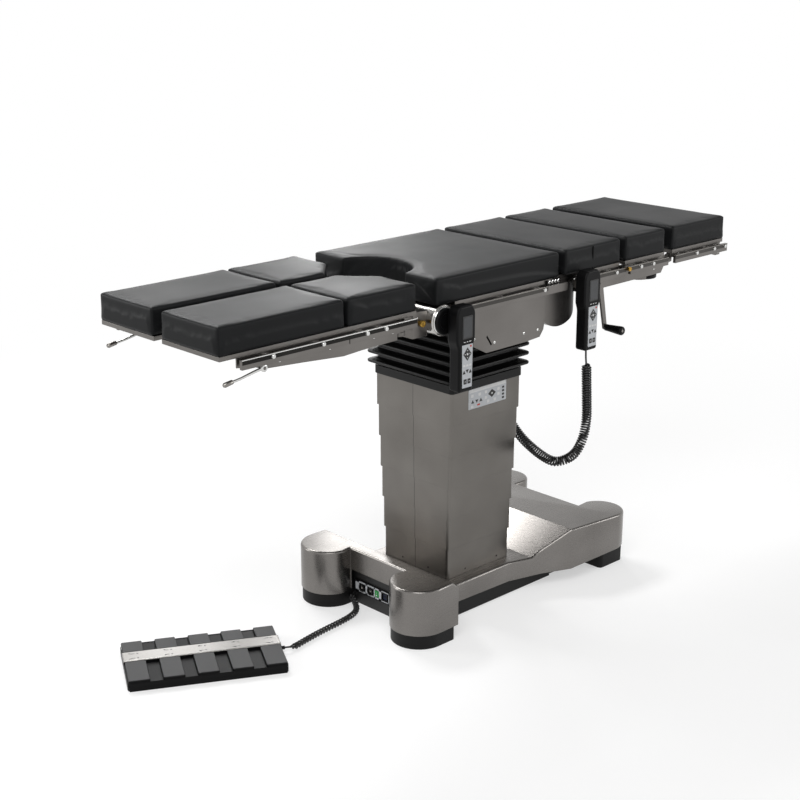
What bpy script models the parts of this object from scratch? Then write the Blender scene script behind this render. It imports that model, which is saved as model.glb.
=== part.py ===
# Operating table on a telescoping column, with tilting top, split legs, back, kidney bridge and head section.
# Metres, +Z up. The origin is on the floor under the column. +X is the head end, -Y is the near side.
import bmesh
import bpy
import math
from mathutils import Matrix, Vector

GAP = 0.0003            # clearance left between pieces that touch
RUN = 0.0006            # running clearance of sliding and turning pieces
SMALL = 0.001           # how far joined solids reach into each other

# Base cover, chassis and feet
COVER_WALL = 0.003
COVER_EDGE = 0.010       # rounding of the cover's upper edges
COVER_HIGH = 0.188
COVER_LOW = 0.110
LOBE_FRONT = (-0.315, 0.205, 0.085)
LOBE_REAR = (0.515, 0.216, 0.074)
WEB_FRONT_X = -0.301
WEB_REAR_X = 0.495
WEB_FRONT_Y = 0.121
WEB_REAR_Y = 0.140
WEB_EDGE_Z = 0.115
CHASSIS_TOP = COVER_LOW - COVER_WALL - GAP
CHASSIS_HALF = 0.170
CHASSIS_FRONT = -0.2847
POCKETS = ((-0.255, -0.085), (0.095, 0.250), (0.270, 0.440))  # the casting is hollow from below
POCKET_HALF = 0.140
POCKET_ROOF = 0.085
LOBE_GAP = 0.012         # keeps the chassis arms off the inner walls of the lobes
FOOT_INSET = 0.006
FOOT_FRONT_TOP = 0.0500
FOOT_REAR_TOP = 0.0700
GLAND_Y = 0.118
GLAND_Z = 0.030
GLAND_RADIUS = 0.006
GLAND_LENGTH = 0.012

# Column
COLUMN_X = 0.005
SLEEVES = 6
SLEEVE_WALL = 0.002
SLEEVE_LOW_HALF = (0.139, 0.142)
SLEEVE_HIGH_HALF = (0.152, 0.166)
SLEEVE_CORNER = 0.010
SLEEVE_FIRST_Z = CHASSIS_TOP + GAP
SLEEVE_PITCH = 0.1020
SLEEVE_LAP = 0.035
TOP_SLEEVE = 0.126
COLUMN_TOP = SLEEVE_FIRST_Z + (SLEEVES - 1) * SLEEVE_PITCH + TOP_SLEEVE
HEAD_PLATE = (COLUMN_TOP - 0.008, COLUMN_TOP + 0.002)
CYLINDER_RADIUS = 0.055
STAGE_RADIUS = 0.042
RAM_RADIUS = 0.030
WELL_FLOOR = 0.030
SOCKET_LENGTH = 0.008
SOCKET_Z = COLUMN_TOP - 0.083
SOCKET_Y = -0.050

# Bellows
COLLAR_Z = (COLUMN_TOP - 0.024, COLUMN_TOP + 0.002)
COLLAR_WALL = 0.003
FIN_FIRST_Z = COLLAR_Z[1] + 0.015
FIN_PITCH = 0.030
FINS = 5
FIN_REACH = 0.025
VALLEY_HALF = (0.150, 0.162)
FIN_HALF = (VALLEY_HALF[0] + FIN_REACH, VALLEY_HALF[1] + FIN_REACH)
BELLOWS_MOUTH = (0.125, 0.105)
BELLOWS_TOP = FIN_FIRST_Z + FINS * FIN_PITCH - 0.0085
BELLOWS_WALL = 0.002

# Tilting gear
TREND_Z = HEAD_PLATE[1] + 0.085
AXLE_RADIUS = 0.015
EAR_IN = 0.0503
EAR_OUT = 0.070
EAR_RADIUS = 0.030
SADDLE = (BELLOWS_TOP + 0.0005, BELLOWS_TOP + 0.0085)
ROLL_Z = SADDLE[1] + 0.042
ROLL_SHAFT_RADIUS = 0.014
ROLL_HUB_RADIUS = 0.030
PILLOW_IN = 0.110
PILLOW_OUT = 0.125
GUIDE_IN = 0.120
GUIDE_OUT = 0.1387
GUIDE_HALF = 0.125
BEAM_IN = GUIDE_OUT + GAP
BEAM_OUT = 0.157
TONGUE_Z = (ROLL_Z + 0.018, ROLL_Z + 0.032)
TONGUE_DEPTH = 0.006
GROOVE_WALL = GUIDE_OUT + TONGUE_DEPTH + GAP

# Table top
TOP_WIDTH = 0.520
CUSHION_THICKNESS = 0.0767
CUSHION_EDGE = 0.010
PAN_THICKNESS = 0.012
PAN_INSET = 0.002
PAN_BOTTOM = ROLL_Z + 0.070
PAN_TOP = PAN_BOTTOM + PAN_THICKNESS
BEAM_Z = (ROLL_Z + 0.003, PAN_BOTTOM)
CUSHION_Z = (PAN_TOP + GAP, PAN_TOP + GAP + CUSHION_THICKNESS)
HALF_TOP = TOP_WIDTH / 2
HALF_PAN = HALF_TOP - PAN_INSET
LEG_OUTER_X = (-1.0705, -0.6505)
LEG_INNER_X = (-0.6415, -0.3845)
SEAT_X = (-0.3105, 0.2165)
LUMBAR_X = (0.2425, 0.5125)
BACK_X = (0.5345, 0.7435)
HEAD_X = (0.7795, 1.0705)
LEG_SPLIT = 0.018       # half the gap between the two leg sections
CROTCH_X = -0.476
CROTCH_Y = 0.115
CUTOUT_X = -0.333
CUTOUT_RADIUS = 0.130

THROUGH = (PAN_BOTTOM - 0.2, PAN_TOP + 0.2)  # a cutter's reach through the whole top

# Side plates and rails
PLATE_OUT = HALF_TOP - 0.010
PLATE_THICKNESS = 0.004
PLATE_IN = PLATE_OUT - PLATE_THICKNESS
RAIL_IN = HALF_TOP + 0.006
RAIL_THICKNESS = 0.010
RAIL_HEIGHT = 0.025
RAIL_OUT = RAIL_IN + RAIL_THICKNESS
RAIL_HIGH = PAN_BOTTOM - 0.004
RAIL_LOW = RAIL_HIGH - RAIL_HEIGHT
STUD_RADIUS = 0.006
STUD_Z = RAIL_HIGH - 0.010
STUD_SIDES = 8

# Leg joints
KNEE_X = -0.284
KNEE_Z = PAN_TOP - 0.046
DRUM_RADIUS = 0.045
DRUM_IN = BEAM_OUT + 0.003
DRUM_OUT = PLATE_OUT + 0.012
CAP_RADIUS = 0.040
CAP_OUT = DRUM_OUT + 0.0115
KNEE_PIN_RADIUS = 0.020
KNEE_PIN_END = DRUM_OUT - 0.037
SWING_X = -0.430
SWING_Y = PLATE_OUT - 0.015
BARREL_RADIUS = 0.016
SWING_PIN_RADIUS = 0.006
BARREL_Z = (KNEE_Z - 0.021, KNEE_Z + 0.025)
LUG_THICKNESS = 0.012
BLOCK_X = (-0.378, -0.320)
BLOCK_Y = (DRUM_IN, SWING_Y)
BLOCK_Z = (KNEE_Z - 0.042, KNEE_Z + 0.0325)
# From the block to the barrel, clear of the end of the rail when the leg is swung out
KNEE_TONGUE = ((0.056, 0.0320), (0.056, 0.070), (-0.010, 0.0125), (-0.0155, 0.0), (0.0155, 0.0),
               (0.0295, 0.0320))
LOCK_X = -0.350
LOCK_RADIUS = 0.005
LOCK_DEPTH = 0.025
LEVER_X = -0.928
LEVER_Z = KNEE_Z - 0.008
LEVER_TIP = (-1.048, LEVER_Z - 0.020)
LEVER_PIN_RADIUS = 0.004

# Back joint, back section and bridge
BACK_AXIS_X = 0.235
BACK_AXIS_Z = PAN_BOTTOM - 0.042
HIP_PIN_RADIUS = 0.015
HIP_LUG_RADIUS = 0.036
HIP_ARM = (BEAM_OUT + 0.0033, BEAM_OUT + 0.015)
HIP_ARM_RADIUS = 0.030
HIP_COVER_RADIUS = 0.105
HIP_COVER_OUT = PLATE_IN - 0.0005
HIP_COVER_IN = HIP_COVER_OUT - 0.045
HIP_TURN_X = 0.200
HIP_TURN_RADIUS = 0.150
SEAT_PAN_END = BACK_AXIS_X - 0.050
HIP_SHELF_END = 0.322         # the fixed shelf carries the lumbar cushion up to the bridge plate
HIP_SHELF_DEPTH = 0.030
CROSS_X = (0.345, 0.430)
CROSS_Z = (BACK_AXIS_Z - 0.020, BACK_AXIS_Z + 0.0185)
BRIDGE_X = (0.3325, 0.508)    # any nearer the axis, and the raised back would push it into the seat cushion
BRIDGE_RISE = 0.100
BRIDGE_POST_HALF = 0.018
BRIDGE_POST_END = CROSS_Z[0] - BRIDGE_RISE - 0.010
BRIDGE_POST_X = 0.405
CRANK_X = 0.3875
CRANK_SHAFT_RADIUS = 0.006
CRANK_SHAFT_END = 0.050
CRANK_ARM = (RAIL_OUT + 0.0015, RAIL_OUT + 0.0095)
CRANK_END = (0.416, BACK_AXIS_Z - 0.134)
CRANK_HUB_RADIUS = 0.010
GRIP_RADIUS = 0.014
GRIP_LENGTH = 0.068
NECK_X = 0.7615
NECK_Z = PAN_BOTTOM - 0.023
NECK_PIN_RADIUS = 0.006
NECK_EAR_RADIUS = 0.0175
KNOB_X = 0.689
KNOB_RADIUS = 0.042

# Handsets
HANDSET_THICKNESS = 0.040
HANDSET_IN = RAIL_OUT + 0.003
HANDSET_OUT = HANDSET_IN + HANDSET_THICKNESS
HANDSET_WIDTH = 0.075
HANDSET_HEIGHT = 0.250
HANDSET_HEAD = 0.130    # the wide upper part with the display
HANDSET_X = (-0.287, 0.268)
HANDSET_TOP = (RAIL_HIGH + 0.017, RAIL_HIGH + 0.032)
HOOK_THICKNESS = 0.003
HOOK_IN = RAIL_IN - GAP - HOOK_THICKNESS
HOOK_DEPTH = 0.018
HOOK_WIDTH = 0.024

# Foot control
CONTROL_CENTRE = (-0.885, 0.113)
CONTROL_TURN = math.radians(-29)
PEDALS = 5
PEDAL_PITCH = 0.098
PEDAL_WIDTH = 0.0605
PEDAL_SIDE = 0.001
CONTROL_END_WALL = 0.002
CONTROL_HALF_LENGTH = (PEDALS - 1) / 2 * PEDAL_PITCH + PEDAL_WIDTH / 2 + PEDAL_SIDE + CONTROL_END_WALL
CONTROL_HALF_WIDTH = 0.125
CONTROL_FLOOR = 0.011
CONTROL_DECK = 0.025
RIDGE_TOP = 0.0292
STRIP = (-0.0025, 0.055)
STRIP_TOP = 0.035
PEDAL_TOP = 0.033
PEDAL_UNDER = 0.019
PEDAL_LINK_TOP = 0.026
PEDAL_AXIS_V = 0.026
CORD_GLAND_V = 0.003
CORD_GLAND_Z = 0.0165
CORD_GLAND_LENGTH = 0.011

# Cords
CORD_RADIUS = 0.003
FOOT_COIL_RADIUS = 0.010
HAND_COIL_RADIUS = 0.016
FOOT_CORD_STEP = 0.017
HAND_CORD_STEP = 0.025


def clear_scene():
    for thing in list(bpy.data.objects):
        bpy.data.objects.remove(thing, do_unlink=True)


def finish(name, colour, roughness, metallic):
    mat = bpy.data.materials.new(name)
    mat.use_nodes = True
    shader = mat.node_tree.nodes["Principled BSDF"]
    shader.inputs["Base Color"].default_value = (*colour, 1.0)
    shader.inputs["Roughness"].default_value = roughness
    shader.inputs["Metallic"].default_value = metallic
    return mat


FINISHES = {
    "stainless": ((0.42, 0.40, 0.37), 0.28, 1.0),
    "polished": ((0.55, 0.54, 0.52), 0.16, 1.0),
    "chrome": ((0.75, 0.75, 0.75), 0.08, 1.0),
    "brass": ((0.60, 0.45, 0.20), 0.25, 1.0),
    "dark_steel": ((0.16, 0.16, 0.16), 0.35, 1.0),
    "black_casting": ((0.02, 0.02, 0.02), 0.55, 0.0),
    "rubber": ((0.02, 0.02, 0.02), 0.70, 0.0),
    "leatherette": ((0.07, 0.07, 0.08), 0.50, 0.0),
    "black_plastic": ((0.02, 0.02, 0.02), 0.45, 0.0),
    "green_plastic": ((0.03, 0.35, 0.10), 0.35, 0.0),
}


def solid(points, faces):
    mesh = bpy.data.meshes.new("piece")
    mesh.from_pydata([tuple(p) for p in points], [], faces)
    thing = bpy.data.objects.new("piece", mesh)
    bpy.context.collection.objects.link(thing)
    return thing


def prism(outline, axis, low, high):
    """An outline extruded along an axis. Outline points are (x, y) for Z, (x, z) for Y and (y, z) for X."""
    area = sum(a[0] * b[1] - b[0] * a[1] for a, b in zip(outline, outline[1:] + outline[:1]))
    ring = outline if area > 0 else outline[::-1]
    place = {
        "X": lambda p, t: (t, p[0], p[1]),
        "Y": lambda p, t: (p[0], t, p[1]),
        "Z": lambda p, t: (p[0], p[1], t),
    }[axis]
    low, high = min(low, high), max(low, high)
    count = len(ring)
    points = [place(p, low) for p in ring] + [place(p, high) for p in ring]
    faces = [tuple(range(count))[::-1], tuple(range(count, 2 * count))]
    faces += [(i, (i + 1) % count, count + (i + 1) % count, count + i) for i in range(count)]
    if axis == "Y":
        faces = [face[::-1] for face in faces]
    return solid(points, faces)


def box(x, y, z):
    return prism([(x[0], y[0]), (x[1], y[0]), (x[1], y[1]), (x[0], y[1])], "Z", z[0], z[1])


def arc(centre, radius, start, end, steps):
    """Points on an arc, angles in degrees."""
    turn = [math.radians(start + (end - start) * i / steps) for i in range(steps + 1)]
    return [(centre[0] + radius * math.cos(t), centre[1] + radius * math.sin(t)) for t in turn]


def circle(centre, radius, sides):
    return arc(centre, radius, 0, 360 - 360 / sides, sides - 1)


def disc(centre, radius, axis, low, high, sides=20):
    return prism(circle(centre, radius, sides), axis, low, high)


def rounded(half_x, half_y, corner, steps=3, centre=(0.0, 0.0)):
    points = []
    for sx, sy, start in ((1, 1, 0), (-1, 1, 90), (-1, -1, 180), (1, -1, 270)):
        middle = (centre[0] + sx * (half_x - corner), centre[1] + sy * (half_y - corner))
        points += arc(middle, corner, start, start + 90, steps)
    return points


def inset(outline, distance):
    """The outline moved inward, with mitred corners. The outline runs anticlockwise."""
    result = []
    count = len(outline)
    for i in range(count):
        before = Vector(outline[i - 1])
        here = Vector(outline[i])
        after = Vector(outline[(i + 1) % count])
        a = (here - before).normalized()
        b = (after - here).normalized()
        normal = Vector((-a.y - b.y, a.x + b.x)).normalized()
        scale = max(0.35, normal.dot(Vector((-a.y, a.x))))
        result.append(tuple(here + normal * (distance / scale)))
    return result


def rings(levels):
    """A closed skin through rings of equal count. Each level is (outline, z); the last joins the first."""
    count = len(levels[0][0])
    points = [(p[0], p[1], z) for outline, z in levels for p in outline]
    total = len(levels)
    faces = []
    for k in range(total):
        a = k * count
        b = ((k + 1) % total) * count
        faces += [(a + i, a + (i + 1) % count, b + (i + 1) % count, b + i) for i in range(count)]
    return solid(points, faces)


def apply_modifiers(thing):
    graph = bpy.context.evaluated_depsgraph_get()
    graph.update()
    mesh = bpy.data.meshes.new_from_object(thing.evaluated_get(graph))
    thing.modifiers.clear()
    thing.data = mesh


def combine(base, others, operation):
    for other in others:
        step = base.modifiers.new("step", "BOOLEAN")
        step.operation = operation
        step.solver = "EXACT"
        step.object = other
    if others:
        bpy.context.view_layer.update()
        apply_modifiers(base)
        for other in others:
            bpy.data.objects.remove(other, do_unlink=True)
    return base


def soften(thing, width, segments=2, angle=40):
    step = thing.modifiers.new("edges", "BEVEL")
    step.width = width
    step.segments = segments
    step.limit_method = "ANGLE"
    step.angle_limit = math.radians(angle)
    step.use_clamp_overlap = True
    apply_modifiers(thing)
    return thing


def soften_rim(thing, width, segments):
    """Rounds only the edges between a top face and a side face."""
    work = bmesh.new()
    work.from_mesh(thing.data)
    work.normal_update()
    rim = []
    for edge in work.edges:
        slopes = sorted(face.normal.z for face in edge.link_faces)
        if len(slopes) == 2 and slopes[1] > 0.6 and abs(slopes[0]) < 0.3:
            rim.append(edge)
    bmesh.ops.bevel(work, geom=rim, offset=width, segments=segments, profile=0.5, affect="EDGES",
                    clamp_overlap=True)
    work.to_mesh(thing.data)
    work.free()
    return thing


def node(name, carrier, surface, solids, cuts=(), smooth=True):
    """One named piece: its solids joined, its cuts taken out, carried by its joint's empty."""
    thing = combine(solids[0], list(solids[1:]), "UNION")
    thing = combine(thing, list(cuts), "DIFFERENCE")
    thing.name = name
    thing.data.name = name
    thing.data.materials.clear()
    thing.data.materials.append(finish(name + "_" + surface, *FINISHES[surface]))
    if smooth:
        thing.data.shade_smooth()
        thing.data.set_sharp_from_angle(angle=math.radians(35))
    thing.parent = carrier
    thing.matrix_parent_inverse = carrier.matrix_world.inverted()
    return thing


def joint_point(name, place, carrier=None):
    point = bpy.data.objects.new(name, None)
    bpy.context.collection.objects.link(point)
    point.empty_display_size = 0.05
    point.matrix_world = Matrix.Translation(place)
    if carrier:
        point.parent = carrier
        point.matrix_parent_inverse = carrier.matrix_world.inverted()
    bpy.context.view_layer.update()
    return point


def under(outline):
    """Side outline given as x and the drop below the pan's underside, turned into x and z."""
    return [(x, PAN_BOTTOM - drop) for x, drop in outline]


def span(side, low, high):
    """A stretch of |y| on one side of the table, lowest first."""
    return tuple(sorted((side * low, side * high)))


def base_outline():
    front = LOBE_FRONT
    rear = LOBE_REAR
    half = [
        (WEB_REAR_X, 0.0),
        (WEB_REAR_X, WEB_REAR_Y),
    ]
    half += arc(rear[:2], rear[2], -75, 90, 9)
    half += [(0.313, 0.268), (0.215, 0.222), (0.100, 0.186), (-0.185, 0.188),
             (-0.238, front[1] + front[2] - 0.002)]
    half += arc(front[:2], front[2], 90, 260, 10)
    half += [(WEB_FRONT_X, WEB_FRONT_Y), (WEB_FRONT_X, 0.0)]
    return half + [(x, -y) for x, y in reversed(half[1:-1])]


def base_profile(lower):
    """Side outline of the cover, in x and z. lower sinks the top by the wall for the inner face."""
    top = [
        (0.62, COVER_HIGH - lower),
        (0.313, COVER_HIGH - lower),
        (0.185, COVER_LOW - lower),
        (-0.150, COVER_LOW - lower),
        (-0.262, COVER_HIGH - lower),
        (-0.42, COVER_HIGH - lower),
    ]
    edge = [(-0.42, 0.045), (-0.235, 0.045), (-0.150, 0.052), (0.100, 0.046), (0.310, 0.051), (0.62, 0.076)]
    if lower:
        edge = [(-0.42, -0.01), (0.62, -0.01)]
    return edge + top


def sleeve_half(k):
    share = (k - 1) / (SLEEVES - 1)
    return tuple(a + (b - a) * share for a, b in zip(SLEEVE_LOW_HALF, SLEEVE_HIGH_HALF))


def sleeve_z(k):
    low = SLEEVE_FIRST_Z + (k - 1) * SLEEVE_PITCH
    high = COLUMN_TOP if k == SLEEVES else low + SLEEVE_PITCH + SLEEVE_LAP
    return low, high


def sleeve_outline(k, grow=0.0):
    half = sleeve_half(k)
    return rounded(half[0] + grow, half[1] + grow, SLEEVE_CORNER + grow, 3, (COLUMN_X, 0.0))


def make_base(root):
    outline = base_outline()
    cover = combine(prism(outline, "Z", 0.0, 0.3), [prism(base_profile(0.0), "Y", -0.4, 0.4)], "INTERSECT")
    soften_rim(cover, COVER_EDGE, 2)
    hollow = prism(inset(outline, COVER_WALL + 0.001), "Z", -0.02, 0.3)
    hollow = combine(hollow, [prism(base_profile(COVER_WALL), "Y", -0.4, 0.4)], "INTERSECT")
    soften_rim(hollow, COVER_EDGE - COVER_WALL, 2)
    below = -0.02
    node("base_cover", root, "polished", [cover], [
        hollow,
        prism(sleeve_outline(1, RUN), "Z", COVER_LOW - 0.02, COVER_HIGH),
        box((-0.45, -0.270), (COVER_WALL - WEB_FRONT_Y, WEB_FRONT_Y - COVER_WALL), (below, WEB_EDGE_Z)),
        box((0.45, 0.62), (COVER_WALL - WEB_REAR_Y, WEB_REAR_Y - COVER_WALL), (below, WEB_EDGE_Z)),
    ])

    front_reach = LOBE_FRONT[1]
    rear_reach = LOBE_REAR[1]
    chassis = [
        box((CHASSIS_FRONT, 0.470), (-CHASSIS_HALF, CHASSIS_HALF), (0.0, CHASSIS_TOP)),
        box((-0.350, -0.270), (-front_reach, front_reach), (FOOT_FRONT_TOP + GAP, CHASSIS_TOP)),
        box((0.440, 0.535), (-rear_reach, rear_reach), (FOOT_REAR_TOP + GAP, CHASSIS_TOP)),
        disc((GLAND_Y, GLAND_Z), GLAND_RADIUS, "X", CHASSIS_FRONT - GLAND_LENGTH, CHASSIS_FRONT + SMALL, 16),
    ]
    node("base_chassis", root, "black_casting", chassis, [
        disc((COLUMN_X, 0.0), CYLINDER_RADIUS + GAP, "Z", WELL_FLOOR - GAP, 0.2, 32),
        box((-0.40, CHASSIS_FRONT), (-WEB_FRONT_Y - LOBE_GAP, WEB_FRONT_Y + LOBE_GAP), (FOOT_FRONT_TOP, 0.2)),
        box((0.4703, 0.56), (-WEB_REAR_Y - LOBE_GAP, WEB_REAR_Y + LOBE_GAP), (0.05, 0.2)),
        *[box(length, (-POCKET_HALF, POCKET_HALF), (-0.01, POCKET_ROOF)) for length in POCKETS],
        box((-0.30, 0.30), (CHASSIS_HALF - 0.02, 0.19), (-0.01, 0.010)),
        box((-0.30, 0.30), (-0.19, 0.02 - CHASSIS_HALF), (-0.01, 0.010)),
    ])
    for side, word in ((-1, "near"), (1, "far")):
        x, y, radius = LOBE_FRONT
        radius -= FOOT_INSET
        inner = side * (CHASSIS_HALF + GAP)
        foot = disc((x, side * y), radius, "Z", 0.0, FOOT_FRONT_TOP, 32)
        soften(foot, 0.003, 1)
        node("foot_front_" + word, root, "rubber", [foot], [
            box((CHASSIS_FRONT - GAP, 0.0), sorted((0.0, inner)), (-0.01, 0.1)),
        ])
        shoe = rounded(0.058, 0.045, 0.014, 3, (0.530, side * 0.2175))
        foot = prism(shoe, "Z", 0.0, FOOT_REAR_TOP)
        soften(foot, 0.003, 1)
        node("foot_rear_" + word, root, "rubber", [foot])

    panel_x = (CHASSIS_FRONT - GAP - 0.005, CHASSIS_FRONT - GAP)
    panel = box(panel_x, (-0.047, 0.111), (0.0410, 0.0820))
    sockets = [disc((y, 0.0615), 0.013, "X", panel_x[0] - 0.004, panel_x[1], 16) for y in (0.078, 0.040)]
    inlet = box((panel_x[0] - 0.002, panel_x[1]), (-0.040, -0.010), (0.048, 0.076))
    node("socket_panel", root, "black_plastic", [panel] + sockets + [inlet], [
        *[disc((y, 0.0615), 0.009, "X", panel_x[0] - 0.01, panel_x[0] + 0.003, 12) for y in (0.078, 0.040)],
        box((panel_x[0] - 0.01, panel_x[0] + 0.003), (-0.036, -0.014), (0.052, 0.072)),
        box((panel_x[0] - 0.01, panel_x[1] + 0.01), (0.0042, 0.0178), (0.0520, 0.0710)),
    ])
    switch = joint_point("switch_axis", (panel_x[0], 0.011, 0.0615), root)
    rocker = box((panel_x[0] - 0.0025, panel_x[0] + 0.0035), (0.0050, 0.0170), (0.0530, 0.0700))
    node("power_switch", switch, "green_plastic", [soften(rocker, 0.0008, 1)])


def make_column(root):
    carriers = {1: root}
    for k in range(2, SLEEVES + 1):
        name = "lift_axis" if k == SLEEVES else f"sleeve_{k}_axis"
        carriers[k] = joint_point(name, (COLUMN_X, 0, 0), root)
    for k in range(1, SLEEVES + 1):
        low, high = sleeve_z(k)
        parts = [prism(sleeve_outline(k), "Z", low, high)]
        cuts = [prism(sleeve_outline(k, -SLEEVE_WALL), "Z", low - 0.01, high + 0.01)]
        if k == SLEEVES:
            face = COLUMN_X + sleeve_half(k)[0]
            parts.append(disc((SOCKET_Y, SOCKET_Z), 0.009, "X", face - 0.0015, face + SOCKET_LENGTH, 20))
        node(f"column_sleeve_{k}", carriers[k], "stainless", parts, cuts)
    lift = carriers[SLEEVES]
    at = (COLUMN_X, 0.0)
    node("lift_cylinder", root, "dark_steel", [disc(at, CYLINDER_RADIUS, "Z", WELL_FLOOR, 0.310)], [
        disc(at, STAGE_RADIUS + RUN, "Z", WELL_FLOOR + 0.005, 0.4)])
    stage = joint_point("lift_stage_axis", (COLUMN_X, 0, 0), root)
    node("lift_stage", stage, "stainless", [disc(at, STAGE_RADIUS, "Z", 0.240, 0.520)], [
        disc(at, RAM_RADIUS + RUN, "Z", 0.2445, 0.6)])
    ram_top = HEAD_PLATE[0] - GAP
    node("lift_ram", lift, "chrome", [disc(at, RAM_RADIUS, "Z", 0.450, ram_top)])

    half = sleeve_half(SLEEVES)
    fit = SLEEVE_WALL + GAP
    plate = prism(rounded(half[0] - fit, half[1] - fit, SLEEVE_CORNER - fit, 3, at), "Z", *HEAD_PLATE)
    ear = [(0.040, HEAD_PLATE[0] + SMALL), *arc((0.0, TREND_Z), EAR_RADIUS, 0, 180, 8),
           (-0.040, HEAD_PLATE[0] + SMALL)]
    ears = [prism(ear, "Y", *span(side, EAR_IN, EAR_OUT)) for side in (-1, 1)]
    axle = disc((0.0, TREND_Z), AXLE_RADIUS, "Y", -EAR_OUT, EAR_OUT)
    node("column_head", lift, "dark_steel", [plate, *ears, axle])
    node("bellows_collar", lift, "rubber", [prism(sleeve_outline(SLEEVES, COLLAR_WALL), "Z", *COLLAR_Z)], [
        prism(sleeve_outline(SLEEVES, GAP), "Z", COLLAR_Z[0] - 0.01, COLLAR_Z[1] + 0.01)])

    def ring(half, grow):
        return rounded(half[0] + grow, half[1] + grow, 0.022, 2, at)

    bottom = COLLAR_Z[1] + GAP
    outer = [(ring(VALLEY_HALF, 0), bottom)]
    inner = [(ring(VALLEY_HALF, -BELLOWS_WALL), bottom)]
    for fin in range(FINS):
        z = FIN_FIRST_Z + fin * FIN_PITCH
        valley = z + FIN_PITCH / 2
        outer += [(ring(FIN_HALF, 0), z - 0.002), (ring(FIN_HALF, 0), z + 0.002),
                  (ring(VALLEY_HALF, 0), valley)]
        inner += [(ring(FIN_HALF, -0.003), z), (ring(VALLEY_HALF, -BELLOWS_WALL), valley)]
    outer += [(ring(VALLEY_HALF, 0), BELLOWS_TOP), (ring(BELLOWS_MOUTH, 0), BELLOWS_TOP)]
    inner += [(ring(VALLEY_HALF, -BELLOWS_WALL), BELLOWS_TOP - 0.003),
              (ring(BELLOWS_MOUTH, 0), BELLOWS_TOP - 0.003)]
    node("bellows", lift, "rubber", [rings(outer + inner[::-1])])
    return lift


def make_tilt_gear(lift):
    trend = joint_point("trend_axis", (0, 0, TREND_Z), lift)
    block = [*arc((0.0, TREND_Z), EAR_RADIUS, 180, 360, 8), (EAR_RADIUS, SADDLE[0] + SMALL),
             (-EAR_RADIUS, SADDLE[0] + SMALL)]
    parts = [prism(block, "Y", -EAR_IN + RUN, EAR_IN - RUN), box((-0.140, 0.140), (-0.120, 0.120), SADDLE)]
    for side in (-1, 1):
        pillow = [(-ROLL_HUB_RADIUS, SADDLE[1] - SMALL), (ROLL_HUB_RADIUS, SADDLE[1] - SMALL),
                  *arc((0.0, ROLL_Z), ROLL_HUB_RADIUS, 0, 180, 8)]
        parts.append(prism(pillow, "X", side * PILLOW_IN, side * PILLOW_OUT))
    parts.append(disc((0.0, ROLL_Z), ROLL_SHAFT_RADIUS, "X", -PILLOW_OUT, PILLOW_OUT))
    node("trend_yoke", trend, "dark_steel", parts, [
        disc((0.0, TREND_Z), AXLE_RADIUS + GAP, "Y", -0.1, 0.1)])

    roll = joint_point("roll_axis", (0, 0, ROLL_Z), trend)
    parts = [
        disc((0.0, ROLL_Z), ROLL_HUB_RADIUS, "X", -PILLOW_IN + RUN, PILLOW_IN - RUN),
        box((-0.080, 0.080), (-GUIDE_OUT, GUIDE_OUT), (ROLL_Z + 0.013, ROLL_Z + 0.043)),
    ]
    for side in (-1, 1):
        guide_z = (ROLL_Z + 0.003, ROLL_Z + 0.048)
        parts.append(box((-GUIDE_HALF, GUIDE_HALF), span(side, GUIDE_IN, GUIDE_OUT), guide_z))
        parts.append(box((-GUIDE_HALF, GUIDE_HALF), span(side, GUIDE_IN, GUIDE_OUT + TONGUE_DEPTH), TONGUE_Z))
    node("roll_frame", roll, "dark_steel", parts, [
        disc((0.0, ROLL_Z), ROLL_SHAFT_RADIUS + GAP, "X", -0.2, 0.2)])
    return roll


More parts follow.
